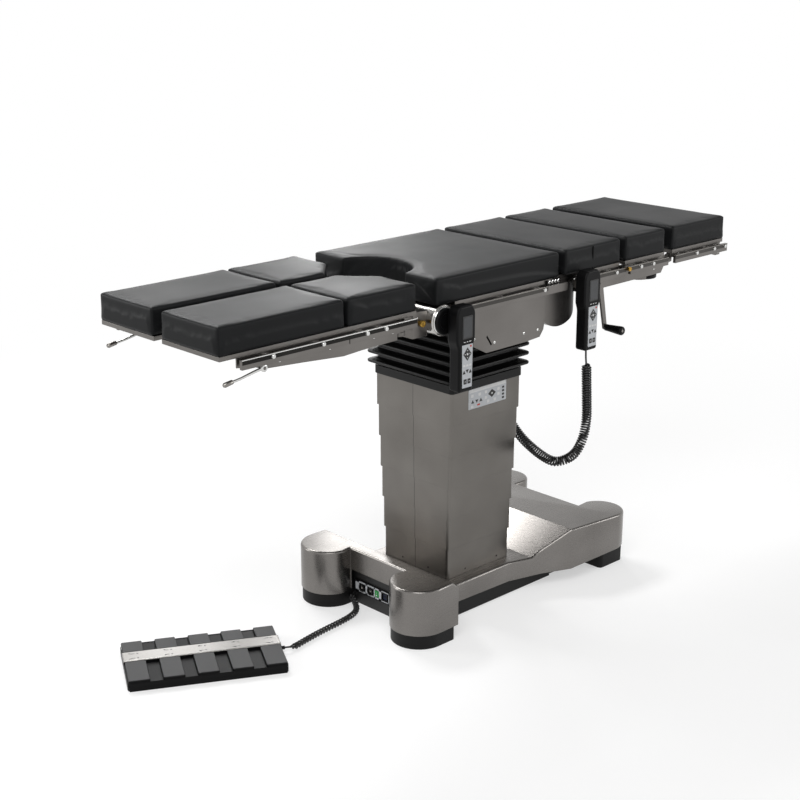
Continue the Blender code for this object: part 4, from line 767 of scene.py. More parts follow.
print("cover shell:", len(cover.data.polygons), "faces")

# %% [markdown]
# ## Feet
# Each lobe stands on a rubber foot with a rounded edge. The front pair is half round, cut off behind, and
# the back pair is a rounded block, because the lobes over them have those plans. Between them a rubber
# skirt closes each side. All are extrusions of their plans or sides.

# %% Rubber feet
FOOT_INSET = 0.0035
FOOT_END = -0.243
FOOT_BEVEL = 0.003
BLOCK_CORNER = 0.014
for word in ("near", "far"):
    low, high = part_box("foot_front_" + word)
    side = -1 if word == "near" else 1
    x, y, radius = LOBE_FRONT
    radius -= FOOT_INSET
    outline = arc((x, y), radius, 90, 270, 40)
    outline += [(FOOT_END - 0.012, y - radius), (FOOT_END, y - radius + BLOCK_CORNER),
                (FOOT_END, y + radius - BLOCK_CORNER), (FOOT_END - 0.012, y + radius)]
    shape = bmesh.new()
    extrude(shape, [(a, side * b) for a, b in outline], "Z", low.z, high.z)
    make("front_foot_" + word, shape, RUBBER, "base", ["foot_front_" + word], bevel=FOOT_BEVEL)
    low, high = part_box("foot_rear_" + word)
    middle = ((low.x + high.x) / 2, (low.y + high.y) / 2)
    shape = bmesh.new()
    block = rounded((high.x - low.x) / 2, (high.y - low.y) / 2, BLOCK_CORNER, 8, middle)
    extrude(shape, block, "Z", low.z, high.z)
    make("rear_foot_" + word, shape, RUBBER, "base", ["foot_rear_" + word], bevel=FOOT_BEVEL)
print("four feet")

# %% [markdown]
# The skirts are flat rubber strips that stand in the gap between the cover's sides and the floor. Their ends
# lean a little inward.

# %% Rubber skirts
SKIRT_Y = (0.1745, 0.1850)
SKIRT_SIDE = [(-0.236, 0.0035), (0.305, 0.0035), (0.285, 0.050), (-0.230, 0.052)]
for side, word in ((-1, "near"), (1, "far")):
    shape = bmesh.new()
    extrude(shape, SKIRT_SIDE, "Y", side * SKIRT_Y[0], side * SKIRT_Y[1])
    make(f"base_skirt_{word}", shape, RUBBER, "base", bevel=0.002)
print("two skirts")

# %% [markdown]
# ## Column sleeves
# Six thin sleeves slide over each other and hide the lifting column. Each is a folded sheet with round
# corners and one seam up the middle of its leg-end face. They are rebuilt with finer corners, because a
# gloss on a corner of three flat facets would break into bands. A closed loft of four rings gives the wall
# its thickness.

# %% Sleeves and seams
SLEEVES = 6
SLEEVE_WALL = 0.002
SLEEVE_CORNER = 0.010
SEAM_HALF = 0.0006
SEAM_PROUD = 0.00015
SOCKET_Y = -0.050
sleeve_bodies = ["base", "sleeve_2", "sleeve_3", "sleeve_4", "sleeve_5", "lift_head"]
for k in range(1, SLEEVES + 1):
    low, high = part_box(f"column_sleeve_{k}")
    half_x = centre[0] - low.x
    half_y = (high.y - low.y) / 2
    outer = rounded(half_x, half_y, SLEEVE_CORNER, 8, centre)
    inner = rounded(half_x - SLEEVE_WALL, half_y - SLEEVE_WALL, SLEEVE_CORNER - SLEEVE_WALL, 8, centre)
    levels = [(outer, low.z), (outer, high.z), (inner, high.z), (inner, low.z)]
    shape = bmesh.new()
    loft(shape, [[(x, y, z) for x, y in ring] for ring, z in levels], closed=True)
    if k == SLEEVES:
        socket_low = centre[0] + half_x - 0.0015
        turn(shape, [(0.009, socket_low), (0.009, high.x - 0.001), (0.0075, high.x), (0.005, high.x - 0.0005),
                     (0.0, high.x - 0.0006)], "X", (SOCKET_Y, SOCKET_Z), 32, paint=1)
    bottom = low.z + (0.004 if k == 1 else 0.0)
    face = centre[0] - half_x
    seam = [(face - SEAM_PROUD, -SEAM_HALF), (face + 0.001, -SEAM_HALF),
            (face + 0.001, SEAM_HALF), (face - SEAM_PROUD, SEAM_HALF)]
    extrude(shape, seam, "Z", bottom, high.z - 0.0005, paint=2)
    make(f"sleeve_skin_{k}", shape, [STEEL_SLEEVE, RUBBER, PRINT_BLACK], sleeve_bodies[k - 1],
         [f"column_sleeve_{k}"])
print(SLEEVES, "sleeves")

# %% [markdown]
# The lowest sleeve is screwed to the base with small domed screws, two on each of three faces. A screw head
# is turned: its profile rises to a rim and falls into the socket.

# %% Column foot screws
def dome(shape, at, facing, radius, height, paint=0):
    """A low screw head. facing is +X, -X, +Y or -Y."""
    sign = 1 if facing[0] == "+" else -1
    axis = facing[1]
    number = "XY".index(axis)
    base = at[number]
    middle = (at[1 - number], at[2])
    profile = [(radius, base - sign * 0.001), (radius, base + sign * height * 0.35),
               (radius * 0.82, base + sign * height * 0.8), (radius * 0.45, base + sign * height),
               (radius * 0.40, base + sign * height * 0.5), (0.0, base + sign * height * 0.5)]
    turn(shape, profile, axis, middle, 20, paint)


SCREW = (0.0030, 0.0012)    # radius and height of the head
shape = bmesh.new()
low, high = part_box("column_sleeve_1")
for y in (-0.057, 0.057):
    dome(shape, (low.x, y, 0.126), "-X", *SCREW)
for x in (-0.055, 0.089):
    dome(shape, (x, low.y, 0.125), "-Y", *SCREW)
    dome(shape, (x, high.y, 0.125), "+Y", *SCREW)
make("column_foot_screws", shape, STEEL_BLACKED_AND_SHADE, "base")
print("six foot screws")

# %% [markdown]
# ## Bellows
# A rubber bellows hides the tilting gear. It is dipped, so its pleats have round tips and soft valleys. A
# cosine raised to a power gives that section: narrow at the tip and wide in the valley, with the tip cut
# flat where the wave passes its limit.

# %% Section of the pleats
COLLAR_LOW, COLLAR_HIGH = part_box("bellows_collar")
BELLOWS_LOW, BELLOWS_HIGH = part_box("bellows")
VALLEY_HALF = (0.150, 0.162)
PLEATS = 5
PLEAT_PITCH = 0.030
PLEAT_REACH = 0.0255
PLEAT_FIRST_Z = COLLAR_HIGH.z + 0.015
PLEAT_LEVELS = 14
PLEAT_SHARPNESS = 1.35      # a higher power gives a narrower tip
PLEAT_PLATEAU = 1.22        # a higher factor gives a wider flat on the tip
MOUTH_HALF = (0.125, 0.105)
BELLOWS_SKIN = 0.004


def pleat_reach(z):
    """How far the skin stands out of the valley at a height."""
    phase = (z - PLEAT_FIRST_Z) / PLEAT_PITCH
    if phase < -0.5 or phase > PLEATS - 0.5:
        return 0.0
    wave = 0.5 + 0.5 * math.cos(2 * math.pi * phase)
    return PLEAT_REACH * min(1.0, PLEAT_PLATEAU * wave ** PLEAT_SHARPNESS)


def pleat_ring(z, reach, half=VALLEY_HALF):
    """One ring of the skin. Its corners grow a little rounder as it stands out."""
    corner = 0.012 + reach * 0.25
    return [(x, y, z) for x, y in rounded(half[0] + reach, half[1] + reach, corner, 8, centre)]


print("a pleat stands out by", round(1000 * pleat_reach(PLEAT_FIRST_Z), 1), "mm")

# %% [markdown]
# The skin is lofted upwards on the outside, over the mouth and down again on the inside, so that it is a
# closed solid with a real thickness. The blend is set last, on the final mesh.

# %% Bellows and collar
COLLAR_PROUD = 0.0015
COLLAR_WALL = 0.0027
levels = round((BELLOWS_HIGH.z - BELLOWS_LOW.z) / PLEAT_PITCH * PLEAT_LEVELS)
heights = [BELLOWS_LOW.z + (BELLOWS_HIGH.z - BELLOWS_LOW.z) * i / levels for i in range(levels + 1)]
rings = [pleat_ring(z, pleat_reach(z)) for z in heights]
rings.append(pleat_ring(BELLOWS_HIGH.z, 0.0, MOUTH_HALF))
rings.append(pleat_ring(BELLOWS_HIGH.z - 0.003, 0.0, MOUTH_HALF))
rings += [pleat_ring(z - 0.001, max(-0.002, pleat_reach(z) - BELLOWS_SKIN)) for z in reversed(heights[1:])]
shape = bmesh.new()
loft(shape, rings, closed=True)
bellows = make("rubber_bellows", shape, BELLOWS_RUBBER, None, ["bellows"], sharp=60)
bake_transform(bellows)

half_x = (COLLAR_HIGH.x - COLLAR_LOW.x) / 2 + COLLAR_PROUD
half_y = (COLLAR_HIGH.y - COLLAR_LOW.y) / 2 + COLLAR_PROUD
outer = rounded(half_x, half_y, 0.013, 8, centre)
inner = rounded(half_x - COLLAR_WALL, half_y - COLLAR_WALL, 0.013 - COLLAR_WALL, 8, centre)
levels = [(outer, COLLAR_LOW.z), (outer, COLLAR_HIGH.z), (inner, COLLAR_HIGH.z), (inner, COLLAR_LOW.z)]
shape = bmesh.new()
loft(shape, [[(x, y, z) for x, y in ring] for ring, z in levels], closed=True)
make("collar_ring", shape, BELLOWS_RUBBER, "lift_head", ["bellows_collar"], bevel=0.001)
print(PLEATS, "pleats in", len(rings), "rings")

# %% [markdown]
# ## Cushions
# Each section carries a moulded foam pad in welded leatherette. Its closed form starts a little under size
# and gets round upper edges. A voxel remesh then gives it even small faces, which cloth needs. A
# Subdivision modifier on the bare block would be quicker, but it rounds all edges alike.

# %% A pad before its cover is filled
PAD_VOXEL = 0.0055
PAD_UNDERSIZE = 0.0006
PAD_CORNER = 0.0038


def pad_block(name, outline, low, high, cutter=None):
    """The pad's closed form before it is blown up, slightly under size."""
    shape = bmesh.new()
    extrude(shape, inset(outline, PAD_UNDERSIZE), "Z", low, high - PAD_UNDERSIZE)
    bmesh.ops.recalc_face_normals(shape, faces=shape.faces)
    mesh = bpy.data.meshes.new(name)
    shape.to_mesh(mesh)
    shape.free()
    thing = bpy.data.objects.new(name, mesh)
    bpy.context.collection.objects.link(thing)
    if cutter:
        boolean(thing, cutter, "DIFFERENCE")
    upper = low + 0.01
    work = bmesh.new()
    work.from_mesh(thing.data)
    rim = [e for e in work.edges if max(v.co.z for v in e.verts) > upper and e.calc_face_angle(0) > 0.7]
    bmesh.ops.bevel(work, geom=rim, offset=PAD_CORNER, segments=3, profile=0.5, affect="EDGES")
    work.to_mesh(thing.data)
    work.free()
    step = thing.modifiers.new("cells", "REMESH")
    step.mode = "VOXEL"
    step.voxel_size = PAD_VOXEL
    step.use_smooth_shade = True
    settle(thing)
    return thing


print("pads are remeshed at", 1000 * PAD_VOXEL, "mm")

# %% [markdown]
# Cloth simulation gives the pad the slight crown of a stuffed cover: air pressure inside pushes the cover
# out, the underside is pinned flat to its plate, and no point may travel more than two millimetres, because
# a moulded pad keeps its form.

# %% Fill the covers
PAD_TRAVEL_CAP = 0.0018
PAD_PRESSURE = 4.0
PAD_CLOTH_MASS = 0.3
CLOTH_FRAMES = 20


def inflate(things):
    """Cloth with a little pressure, the underside pinned, and the travel capped."""
    rest = {}
    for thing in things:
        bottom = min(v.co.z for v in thing.data.vertices)
        rest[thing] = [v.co.copy() for v in thing.data.vertices]
        pins = thing.vertex_groups.new(name="underside")
        pins.add([v.index for v in thing.data.vertices if v.co.z < bottom + 0.004], 1.0, "REPLACE")
        step = thing.modifiers.new("cloth", "CLOTH")
        step.settings.vertex_group_mass = "underside"
        step.settings.quality = 4
        step.settings.mass = PAD_CLOTH_MASS
        step.settings.use_pressure = True
        step.settings.uniform_pressure_force = PAD_PRESSURE
        step.settings.effector_weights.gravity = 0.0
        step.collision_settings.use_collision = False
        step.point_cache.frame_start = 1
        step.point_cache.frame_end = CLOTH_FRAMES
    scene = bpy.context.scene
    for count in range(1, CLOTH_FRAMES + 1):
        scene.frame_set(count)
    for thing in things:
        settle(thing)
        for vertex, start in zip(thing.data.vertices, rest[thing]):
            travel = vertex.co - start
            if travel.length > PAD_TRAVEL_CAP:
                vertex.co = start + travel.normalized() * PAD_TRAVEL_CAP
    scene.frame_set(1)


print("the covers are filled in", CLOTH_FRAMES, "frames")

# %% [markdown]
# The plan of every pad is a rectangle, apart from three: the two inner leg pads lose the corner at the
# crotch, and the seat has a round cut-out that leaves room for the surgeon.

# %% The eight pads
HALF_TOP = 0.260
LEG_SPLIT = 0.018
CUT_OUT = (-0.333, 0.130)   # centre along the table, and radius


def plan_of(node):
    """The rectangle of a cushion's own box."""
    low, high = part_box(node)
    return [(low.x, low.y), (high.x, low.y), (high.x, high.y), (low.x, high.y)]


def inner_leg_plan(side):
    """The rectangle without its corner at the crotch."""
    low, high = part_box("leg_inner_cushion_near")
    points = [(low.x, LEG_SPLIT), (-0.476, LEG_SPLIT), (high.x, 0.115), (high.x, HALF_TOP),
              (low.x, HALF_TOP)]
    points = [(x, side * y) for x, y in points]
    return points if side > 0 else points[::-1]


pads = {}
for node, body in (("leg_outer_cushion_near", "leg_near"), ("leg_outer_cushion_far", "leg_far"),
                   ("leg_inner_cushion_near", "leg_near"), ("leg_inner_cushion_far", "leg_far"),
                   ("seat_cushion", "table_top"), ("lumbar_cushion", "bridge"), ("back_cushion", "back"),
                   ("head_cushion", "head")):
    low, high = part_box(node)
    plan = plan_of(node)
    if "inner" in node:
        plan = inner_leg_plan(1 if node.endswith("far") else -1)
    cutter = None
    if node == "seat_cushion":
        round_hole = arc((CUT_OUT[0], 0.0), CUT_OUT[1] + PAD_UNDERSIZE, 0, 355, 71)
        cutter = helper(round_hole, "Z", low.z - 0.05, high.z + 0.05)
    pads[node] = (pad_block(node.replace("cushion", "pad"), plan, low.z, high.z, cutter), body)
inflate([pad for pad, body in pads.values()])
print(len(pads), "pads,", sum(len(pad.data.vertices) for pad, body in pads.values()), "points")

# %% [markdown]
# One subdivision rounds what the remesh left coarse. Then every point is held inside the pad's own box,
# because neighbours nearly touch. The lumbar pad has one seam, which shows as a thin dark line on its
# sides, and it gets a mesh of its own.

# %% Finish the pads
PAD_PROUD = 0.0008
PAD_CROWN = 0.002
PAD_BOTTOM_BAND = 0.003
SEAM_X = 0.373
SEAM_WIDE = 0.0007
for node, (pad, body) in pads.items():
    step = pad.modifiers.new("finer", "SUBSURF")
    step.levels = 1
    step.render_levels = 1
    settle(pad)
    low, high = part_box(node)
    for vertex in pad.data.vertices:
        vertex.co.x = min(max(vertex.co.x, low.x - PAD_PROUD), high.x + PAD_PROUD)
        vertex.co.y = min(max(vertex.co.y, low.y - PAD_PROUD), high.y + PAD_PROUD)
        vertex.co.z = min(max(vertex.co.z, low.z), high.z + PAD_CROWN)
        if vertex.co.z < low.z + PAD_BOTTOM_BAND:
            vertex.co.z = low.z
    pad.data.materials.clear()
    pad.data.materials.append(LEATHERETTE)
    pad.data.materials.append(THREAD)
    pad.data.shade_smooth()
    if node == "lumbar_cushion":
        shape = bmesh.new()
        shape.from_mesh(pad.data)
        for side in (-1, 1):
            deep = side * (HALF_TOP - 0.006)
            proud = side * (HALF_TOP + 0.0006)
            strip = [(SEAM_X - SEAM_WIDE, deep), (SEAM_X + SEAM_WIDE, deep), (SEAM_X + SEAM_WIDE, proud),
                     (SEAM_X - SEAM_WIDE, proud)]
            extrude(shape, strip, "Z", low.z + 0.002, high.z - 0.006, paint=1)
        bmesh.ops.recalc_face_normals(shape, faces=shape.faces)
        shape.to_mesh(pad.data)
        shape.free()
    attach(pad, body)
    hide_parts(node)
lumbar = pads["lumbar_cushion"][0]
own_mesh(lumbar)
print("pads dressed")

# %% [markdown]
# ## Handsets
# A handset is an injection-moulded shell with a wide rounded head for the display and a narrower grip for
# the keypad. It hangs by a hook over the side rail. The display is a grey window, the keypad a printed
# foil. The symbols are generic: a four-way pad, rows of keys and small marks, all cut from one helper for
# flat prints.

# %% Flat prints
PRINT_THICK = 0.0004


def print_patch(shape, outline, axis, face, outward, paint, layer=1):
    """A thin raised patch. face is the surface it lies on, outward is +1 or -1 along the axis."""
    extrude(shape, outline, axis, face - outward * 0.0003, face + outward * PRINT_THICK * layer, paint)


def square(a, b, half_a, half_b):
    """An upright rectangle by its middle and half sizes."""
    left, right = a - half_a, a + half_a
    return [(left, b - half_b), (right, b - half_b), (right, b + half_b), (left, b + half_b)]


def diamond(a, b, half_a, half_b):
    """The outline of a four-way pad."""
    return [(a - half_a, b), (a, b - half_b), (a + half_a, b), (a, b + half_b)]


def triangle(a, b, size, up):
    """An arrow that points up (1) or down (-1)."""
    return [(a - size, b - up * size * 0.7), (a + size, b - up * size * 0.7), (a, b + up * size)]


print("a print is", 1000 * PRINT_THICK, "mm thick")

# %% [markdown]
# The shell's outline is drawn as seen from the near side: round corners at the foot, straight sides, an
# ease out to the wider head, and a crown that is part of a circle, cut almost flat. It is extruded and its
# edges are bevelled. The hook is a strip bent over the rail.

# %% Shell and hook of a handset
HANDSET_HEAD = 0.130
HANDSET_NECK = 0.009
HANDSET_FOOT = 0.008
HANDSET_DEEP = 0.040
HANDSET_EASE = 0.035
CROWN_DROP = 0.030
HOOK_WIDE = 0.024
HOOK_Y = (-0.2657, -0.2627)     # the strip's two faces behind the rail
EASE = [(n / 8, (1 - math.cos(math.pi * n / 8)) / 2) for n in range(9)]


def handset_line(low, high):
    """The outline of the shell, anticlockwise from the foot."""
    middle = (low.x + high.x) / 2
    wide = (high.x - low.x) / 2
    narrow = wide - HANDSET_NECK
    waist = high.z - HANDSET_HEAD
    line = arc((middle - narrow + HANDSET_FOOT, low.z + HANDSET_FOOT), HANDSET_FOOT, 180, 270, 6)
    line += arc((middle + narrow - HANDSET_FOOT, low.z + HANDSET_FOOT), HANDSET_FOOT, 270, 360, 6)
    line += [(middle + narrow + HANDSET_NECK * share, waist + HANDSET_EASE * t) for t, share in EASE]
    crown = arc((middle, high.z - CROWN_DROP), wide, 0, 180, 40)
    line += [(x, min(z, high.z - 0.0012 * abs(x - middle) / wide)) for x, z in crown[1:-1]]
    line += [(middle - narrow - HANDSET_NECK * share, waist + HANDSET_EASE * t)
             for t, share in reversed(EASE)]
    return line


def hook_line(back):
    """From the back of the shell over the rail and down behind it."""
    rail_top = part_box("seat_rail_near")[1].z
    upper = rail_top + 0.0033
    under = rail_top + 0.0003
    lower = rail_top - 0.018
    return [(back - 0.002, upper), (back - 0.002, under), (HOOK_Y[0], under),
            (HOOK_Y[0], lower), (HOOK_Y[1], lower), (HOOK_Y[1], upper)]


print("a handset is", 1000 * HANDSET_DEEP, "mm deep")

# %% [markdown]
# From the top, the face carries the window with its glass, three small marks, a red key, the four-way pad,
# two rows of keys, and two wide keys at the foot. Each is a patch in its own layer, so that no two faces
# coincide.

# %% Face of a handset
def handset_face(shape, x, top, bottom, front):
    """All prints of one handset. x is the middle of its face."""

    def patch(outline, paint, layer):
        print_patch(shape, outline, "Y", front, -1, paint, layer)

    patch(rounded(0.0205, 0.033, 0.004, 6, (x, top - 0.062)), 0, 2)
    patch(rounded(0.0165, 0.029, 0.002, 6, (x, top - 0.062)), 1, 3)
    patch([(x - 0.0195, bottom + 0.012), (x + 0.0195, bottom + 0.012),
           (x + 0.0215, top - 0.112), (x - 0.0215, top - 0.112)], 2, 1)
    for n in range(3):
        patch(square(x - 0.011 + 0.011 * n, top - 0.104, 0.0038 if n != 1 else 0.0028, 0.0011), 3, 1)
    keys_z = top - 0.140
    patch(square(x + 0.0135, top - 0.118, 0.003, 0.0025), 5, 2)
    patch(diamond(x, keys_z, 0.0165, 0.0195), 4, 2)
    patch(rounded(0.0032, 0.0032, 0.003, 6, (x, keys_z)), 3, 3)
    for a, b in ((0.0, 0.0105), (0.0, -0.0105), (0.0095, 0.0), (-0.0095, 0.0)):
        patch(square(x + a, keys_z + b, 0.0013, 0.0013), 3, 3)
    for n in range(3):
        key = (x - 0.0125 + 0.0125 * n, keys_z - 0.0525 + (0.003 if n == 1 else 0.0))
        patch(triangle(*key, 0.0062, -1 if n == 1 else 1), 4, 2)
        patch(rounded(0.0045, 0.0028, 0.0012, 3, (key[0], keys_z - 0.033)), 3, 2)
    for n in range(2):
        key = (x - 0.008 + 0.016 * n, bottom + 0.030)
        patch(rounded(0.0062, 0.0074, 0.0015, 4, key), 4, 2)
        patch(square(key[0], key[1], 0.0022, 0.0007), 3, 3)


KEYPAD_PAINTS = [PRINT_BLACK, DISPLAY, FOIL, PRINT_WHITE, PRINT_BLACK, PRINT_RED]
print("a face has", len(KEYPAD_PAINTS), "paints")

# %% [markdown]
# Both handsets are alike. They hang on the near rail and differ only in where the hook sits on the back,
# because each hangs beside another spacer.

# %% The two handsets
FACE_ASIDE = 0.004
for number, body, rail_gap in ((1, "handset_1_body", 0.0475), (2, "handset_2_body", 0.0255)):
    low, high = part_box(f"handset_{number}")
    shape = bmesh.new()
    extrude(shape, handset_line(low, high), "Y", low.y, low.y + HANDSET_DEEP)
    make(f"handset_{number}_shell", shape, ABS_BLACK, body, [f"handset_{number}"],
         bevel=0.006, segments=4)
    shape = bmesh.new()
    extrude(shape, hook_line(low.y + HANDSET_DEEP), "X", low.x + rail_gap, low.x + rail_gap + HOOK_WIDE)
    make(f"handset_{number}_hook", shape, STEEL_BLACKED_AND_SHADE, body, bevel=0.0006)
    shape = bmesh.new()
    handset_face(shape, (low.x + high.x) / 2 + FACE_ASIDE, high.z, low.z, low.y)
    make(f"handset_{number}_keypad", shape, KEYPAD_PAINTS, body)
print("two handsets")

# %% [markdown]
# ## Keypad on the column
# A spare keypad sits on the near face of the uppermost sleeve, for use when a handset fails. It is a
# printed foil with a white head strip, a four-way pad, rows of light keys and one red mark.

# %% Column keypad
FOIL_X = (-0.076, 0.091)
FOIL_Z = (0.655, 0.721)
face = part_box("column_sleeve_6")[0].y
shape = bmesh.new()
foil = rounded((FOIL_X[1] - FOIL_X[0]) / 2, (FOIL_Z[1] - FOIL_Z[0]) / 2, 0.003, 4,
               (sum(FOIL_X) / 2, sum(FOIL_Z) / 2))
print_patch(shape, foil, "Y", face, -1, 0)
print_patch(shape, square(sum(FOIL_X) / 2, FOIL_Z[1] - 0.008, 0.080, 0.0065), "Y", face, -1, 1, 2)
print_patch(shape, diamond(0.027, 0.688, 0.017, 0.013), "Y", face, -1, 2, 2)
print_patch(shape, rounded(0.003, 0.0025, 0.002, 6, (0.027, 0.688)), "Y", face, -1, 1, 3)
for a, b in ((-0.060, 0.696), (-0.028, 0.696), (0.000, 0.697), (0.000, 0.679), (0.056, 0.696), (0.056, 0.680),
             (0.010, 0.666), (0.040, 0.666), (-0.060, 0.662)):
    print_patch(shape, rounded(0.0055, 0.0045, 0.002, 4, (a, b)), "Y", face, -1, 1, 2)
for n, x in enumerate((-0.058, -0.040, -0.022)):
    print_patch(shape, triangle(x, 0.677, 0.0062, -1 if n == 1 else 1), "Y", face, -1, 2, 2)
print_patch(shape, square(-0.032, 0.664, 0.006, 0.0025), "Y", face, -1, 3, 2)
for n in range(4):
    print_patch(shape, square(0.077, 0.664 + 0.011 * n, 0.0045, 0.0032), "Y", face, -1, 2, 2)
make("column_keypad", shape, [FOIL, PRINT_WHITE, PRINT_BLACK, PRINT_RED], "lift_head")
print("column keypad at z", FOIL_Z)

# %% [markdown]
# ## Socket panel
# Between the front lobes sits the mains panel: two round sockets, a green rocker switch and a blue
# appliance inlet on a light printed plate.

# %% Panel prints and inlet
PANEL_Z = 0.0615
panel_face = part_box("socket_panel")[1].x - 0.005
shape = bmesh.new()
plate_y = [(-0.044, -0.041), (-0.009, 0.003), (0.019, 0.025), (0.055, 0.063), (0.093, 0.109)]
for a, b in plate_y:
    print_patch(shape, square((a + b) / 2, PANEL_Z, (b - a) / 2, 0.0175), "X", panel_face, -1, 0)
for z in (0.0465, 0.0765):
    print_patch(shape, square(0.0325, z, 0.0765, 0.0025), "X", panel_face, -1, 0)
for y in (0.078, 0.040):
    turn(shape, [(0.0088, panel_face + 0.0028), (0.0088, panel_face + 0.0012), (0.006, panel_face + 0.001),
                 (0.005, panel_face + 0.0025), (0.0, panel_face + 0.0026)], "X", (y, PANEL_Z), 32, paint=3)
print_patch(shape, square(-0.025, 0.062, 0.0102, 0.0092), "X", panel_face + 0.0027, -1, 2)
for b in (-0.0305, -0.025, -0.0195):
    print_patch(shape, square(b, 0.062, 0.0012, 0.0045), "X", panel_face + 0.0018, -1, 1, 2)
print_patch(shape, rounded(0.0092, 0.0105, 0.0015, 4, (0.011, PANEL_Z)), "X", panel_face, -1, 4, 2)
make("panel_prints", shape, [FOIL, PRINT_BLACK, BLUE, TURNED_STEEL_AND_HIGHLIGHT, GREEN], "base")
switch_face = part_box("power_switch")[0].x
shape = bmesh.new()
print_patch(shape, square(0.011, 0.0655, 0.0004, 0.0022), "X", switch_face, -1, 0)
print_patch(shape, rounded(0.0020, 0.0020, 0.0019, 6, (0.011, 0.0572)), "X", switch_face, -1, 0)
make("switch_marks", shape, [PRINT_WHITE], "switch")
print("panel finished")

# %% [markdown]
# ## Foot control
# The pedals are grey polyurethane pads on a black housing, with a polished strip between the rows. The
# strip carries a small symbol pair over each pedal.

# %% Pedal pads and strip symbols
PEDALS = 5
PEDAL_PITCH = 0.098
PAD_HALF = 0.0292
PAD_SPANS = ((-0.1225, -0.0055), (0.058, 0.1225))   # where the two pads of a pedal start and end
APRON_V = 0.1246
APRON_HALF = 0.0009
STRIP_V = 0.026


def on_control(shape):
    """Turns and moves a shape from the foot control's own frame to the floor."""
    bmesh.ops.transform(shape, matrix=CONTROL_PLACE, verts=shape.verts)


PAD_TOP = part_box("pedal_1")[1].z
for k in range(PEDALS):
    u = (k - (PEDALS - 1) / 2) * PEDAL_PITCH
    shape = bmesh.new()
    for v_low, v_high in PAD_SPANS:
        pad_line = rounded(PAD_HALF, (v_high - v_low) / 2, 0.0022, 4, (u, (v_low + v_high) / 2))
        extrude(shape, pad_line, "Z", PAD_TOP - 0.0012, PAD_TOP + 0.0008)
    on_control(shape)
    make(f"pedal_{k + 1}_pads", shape, PAD_GREY, f"pedal_{k + 1}_rocker", bevel=0.0007,
         segments=2)
print(PEDALS, "pedals")

# %% [markdown]
# Two black walls close the long sides under the pads. The strip between the rows of pads carries its signs
# as flat prints, a bar, a block and an arrow for each pedal and each row.

# %% Walls and strip symbols
apron_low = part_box("foot_control_base")[0].z + 0.0005
shape = bmesh.new()
for v in (-APRON_V, APRON_V):
    extrude(shape, square(0.0, v, PEDAL_PITCH * 2 + 0.028, APRON_HALF), "Z", apron_low, PAD_TOP - 0.0065)
on_control(shape)
make("foot_control_aprons", shape, ABS_BLACK, "base", bevel=0.0006, segments=1)
STRIP_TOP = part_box("foot_control_strip")[1].z
PRINT_SPAN = (STRIP_TOP - 0.0005, STRIP_TOP + 0.0003)
shape = bmesh.new()
for k in range(PEDALS):
    u = (k - (PEDALS - 1) / 2) * PEDAL_PITCH
    lean = (k - 2) * 0.0035
    for v, up in ((STRIP_V + 0.014, 1), (STRIP_V - 0.014, -1)):
        extrude(shape, square(u - 0.004, v, 0.006, 0.0009), "Z", *PRINT_SPAN)
        extrude(shape, square(u - 0.006 + lean, v + up * 0.0030, 0.0022, 0.0016), "Z", *PRINT_SPAN)
        extrude(shape, triangle(u + 0.010, v, 0.0028, up), "Z", *PRINT_SPAN)
on_control(shape)
make("strip_symbols", shape, PRINT_BLACK, "base")
print("two walls and", 2 * PEDALS, "symbols")

# %% [markdown]
# ## Leg joints
# Each leg section hangs on a drum that pitches about the knee pin. The drum is turned steel with a black
# bearing cap and a bright ring, and the block behind it carries the vertical pin about which the leg swings
# outwards. A brass pin locks that swing.

# %% Drum and cap
KNEE = (-0.284, 0.988)
DRUM_RADIUS = 0.045
DRUM_Y = (0.160, 0.262)
CAP_RADIUS = 0.040
CAP_OUT = 0.2735


def turn_outward(shape, line, side, centre, sides, paint=0):
    """Turns a profile about an axis across the table. Its distances count outwards on either side."""
    turn(shape, [(radius, side * t) for radius, t in line], "Y", centre, sides, paint=paint)


def knee_drum(side, word):
    """The turned drum, which carries the leg joint's node, and its cap with the bright ring."""
    shape = bmesh.new()
    drum = [(DRUM_RADIUS - 0.002, DRUM_Y[0]), (DRUM_RADIUS, DRUM_Y[0] + 0.002),
            (DRUM_RADIUS, DRUM_Y[1] - 0.003), (DRUM_RADIUS - 0.003, DRUM_Y[1])]
    turn_outward(shape, drum, side, KNEE, 96)
    make(f"knee_drum_{word}", shape, DRUM_STEEL, f"knee_{word}", [f"leg_joint_{word}"])
    shape = bmesh.new()
    cap = [(CAP_RADIUS - 0.001, DRUM_Y[1] - 0.001), (CAP_RADIUS - 0.001, CAP_OUT - 0.003),
           (CAP_RADIUS - 0.004, CAP_OUT), (CAP_RADIUS - 0.016, CAP_OUT),
           (CAP_RADIUS - 0.018, CAP_OUT - 0.002), (0.0, CAP_OUT - 0.002)]
    turn_outward(shape, cap, side, KNEE, 96)
    ring = [(CAP_RADIUS, DRUM_Y[1] - 0.001), (CAP_RADIUS + 0.0012, DRUM_Y[1] + 0.002),
            (CAP_RADIUS, DRUM_Y[1] + 0.004), (CAP_RADIUS - 0.003, DRUM_Y[1] + 0.004)]
    turn_outward(shape, ring, side, KNEE, 96, paint=1)
    make(f"knee_cap_{word}", shape, [ABS_BLACK, CHROME], f"knee_{word}")


print("drums of", 1000 * DRUM_RADIUS, "mm radius")

# %% [markdown]
# The block stands behind the drum. Two lugs reach from it to the swing pin, each a tongue that narrows
# towards the eye. The lock pin is turned brass with a groove behind its knob.

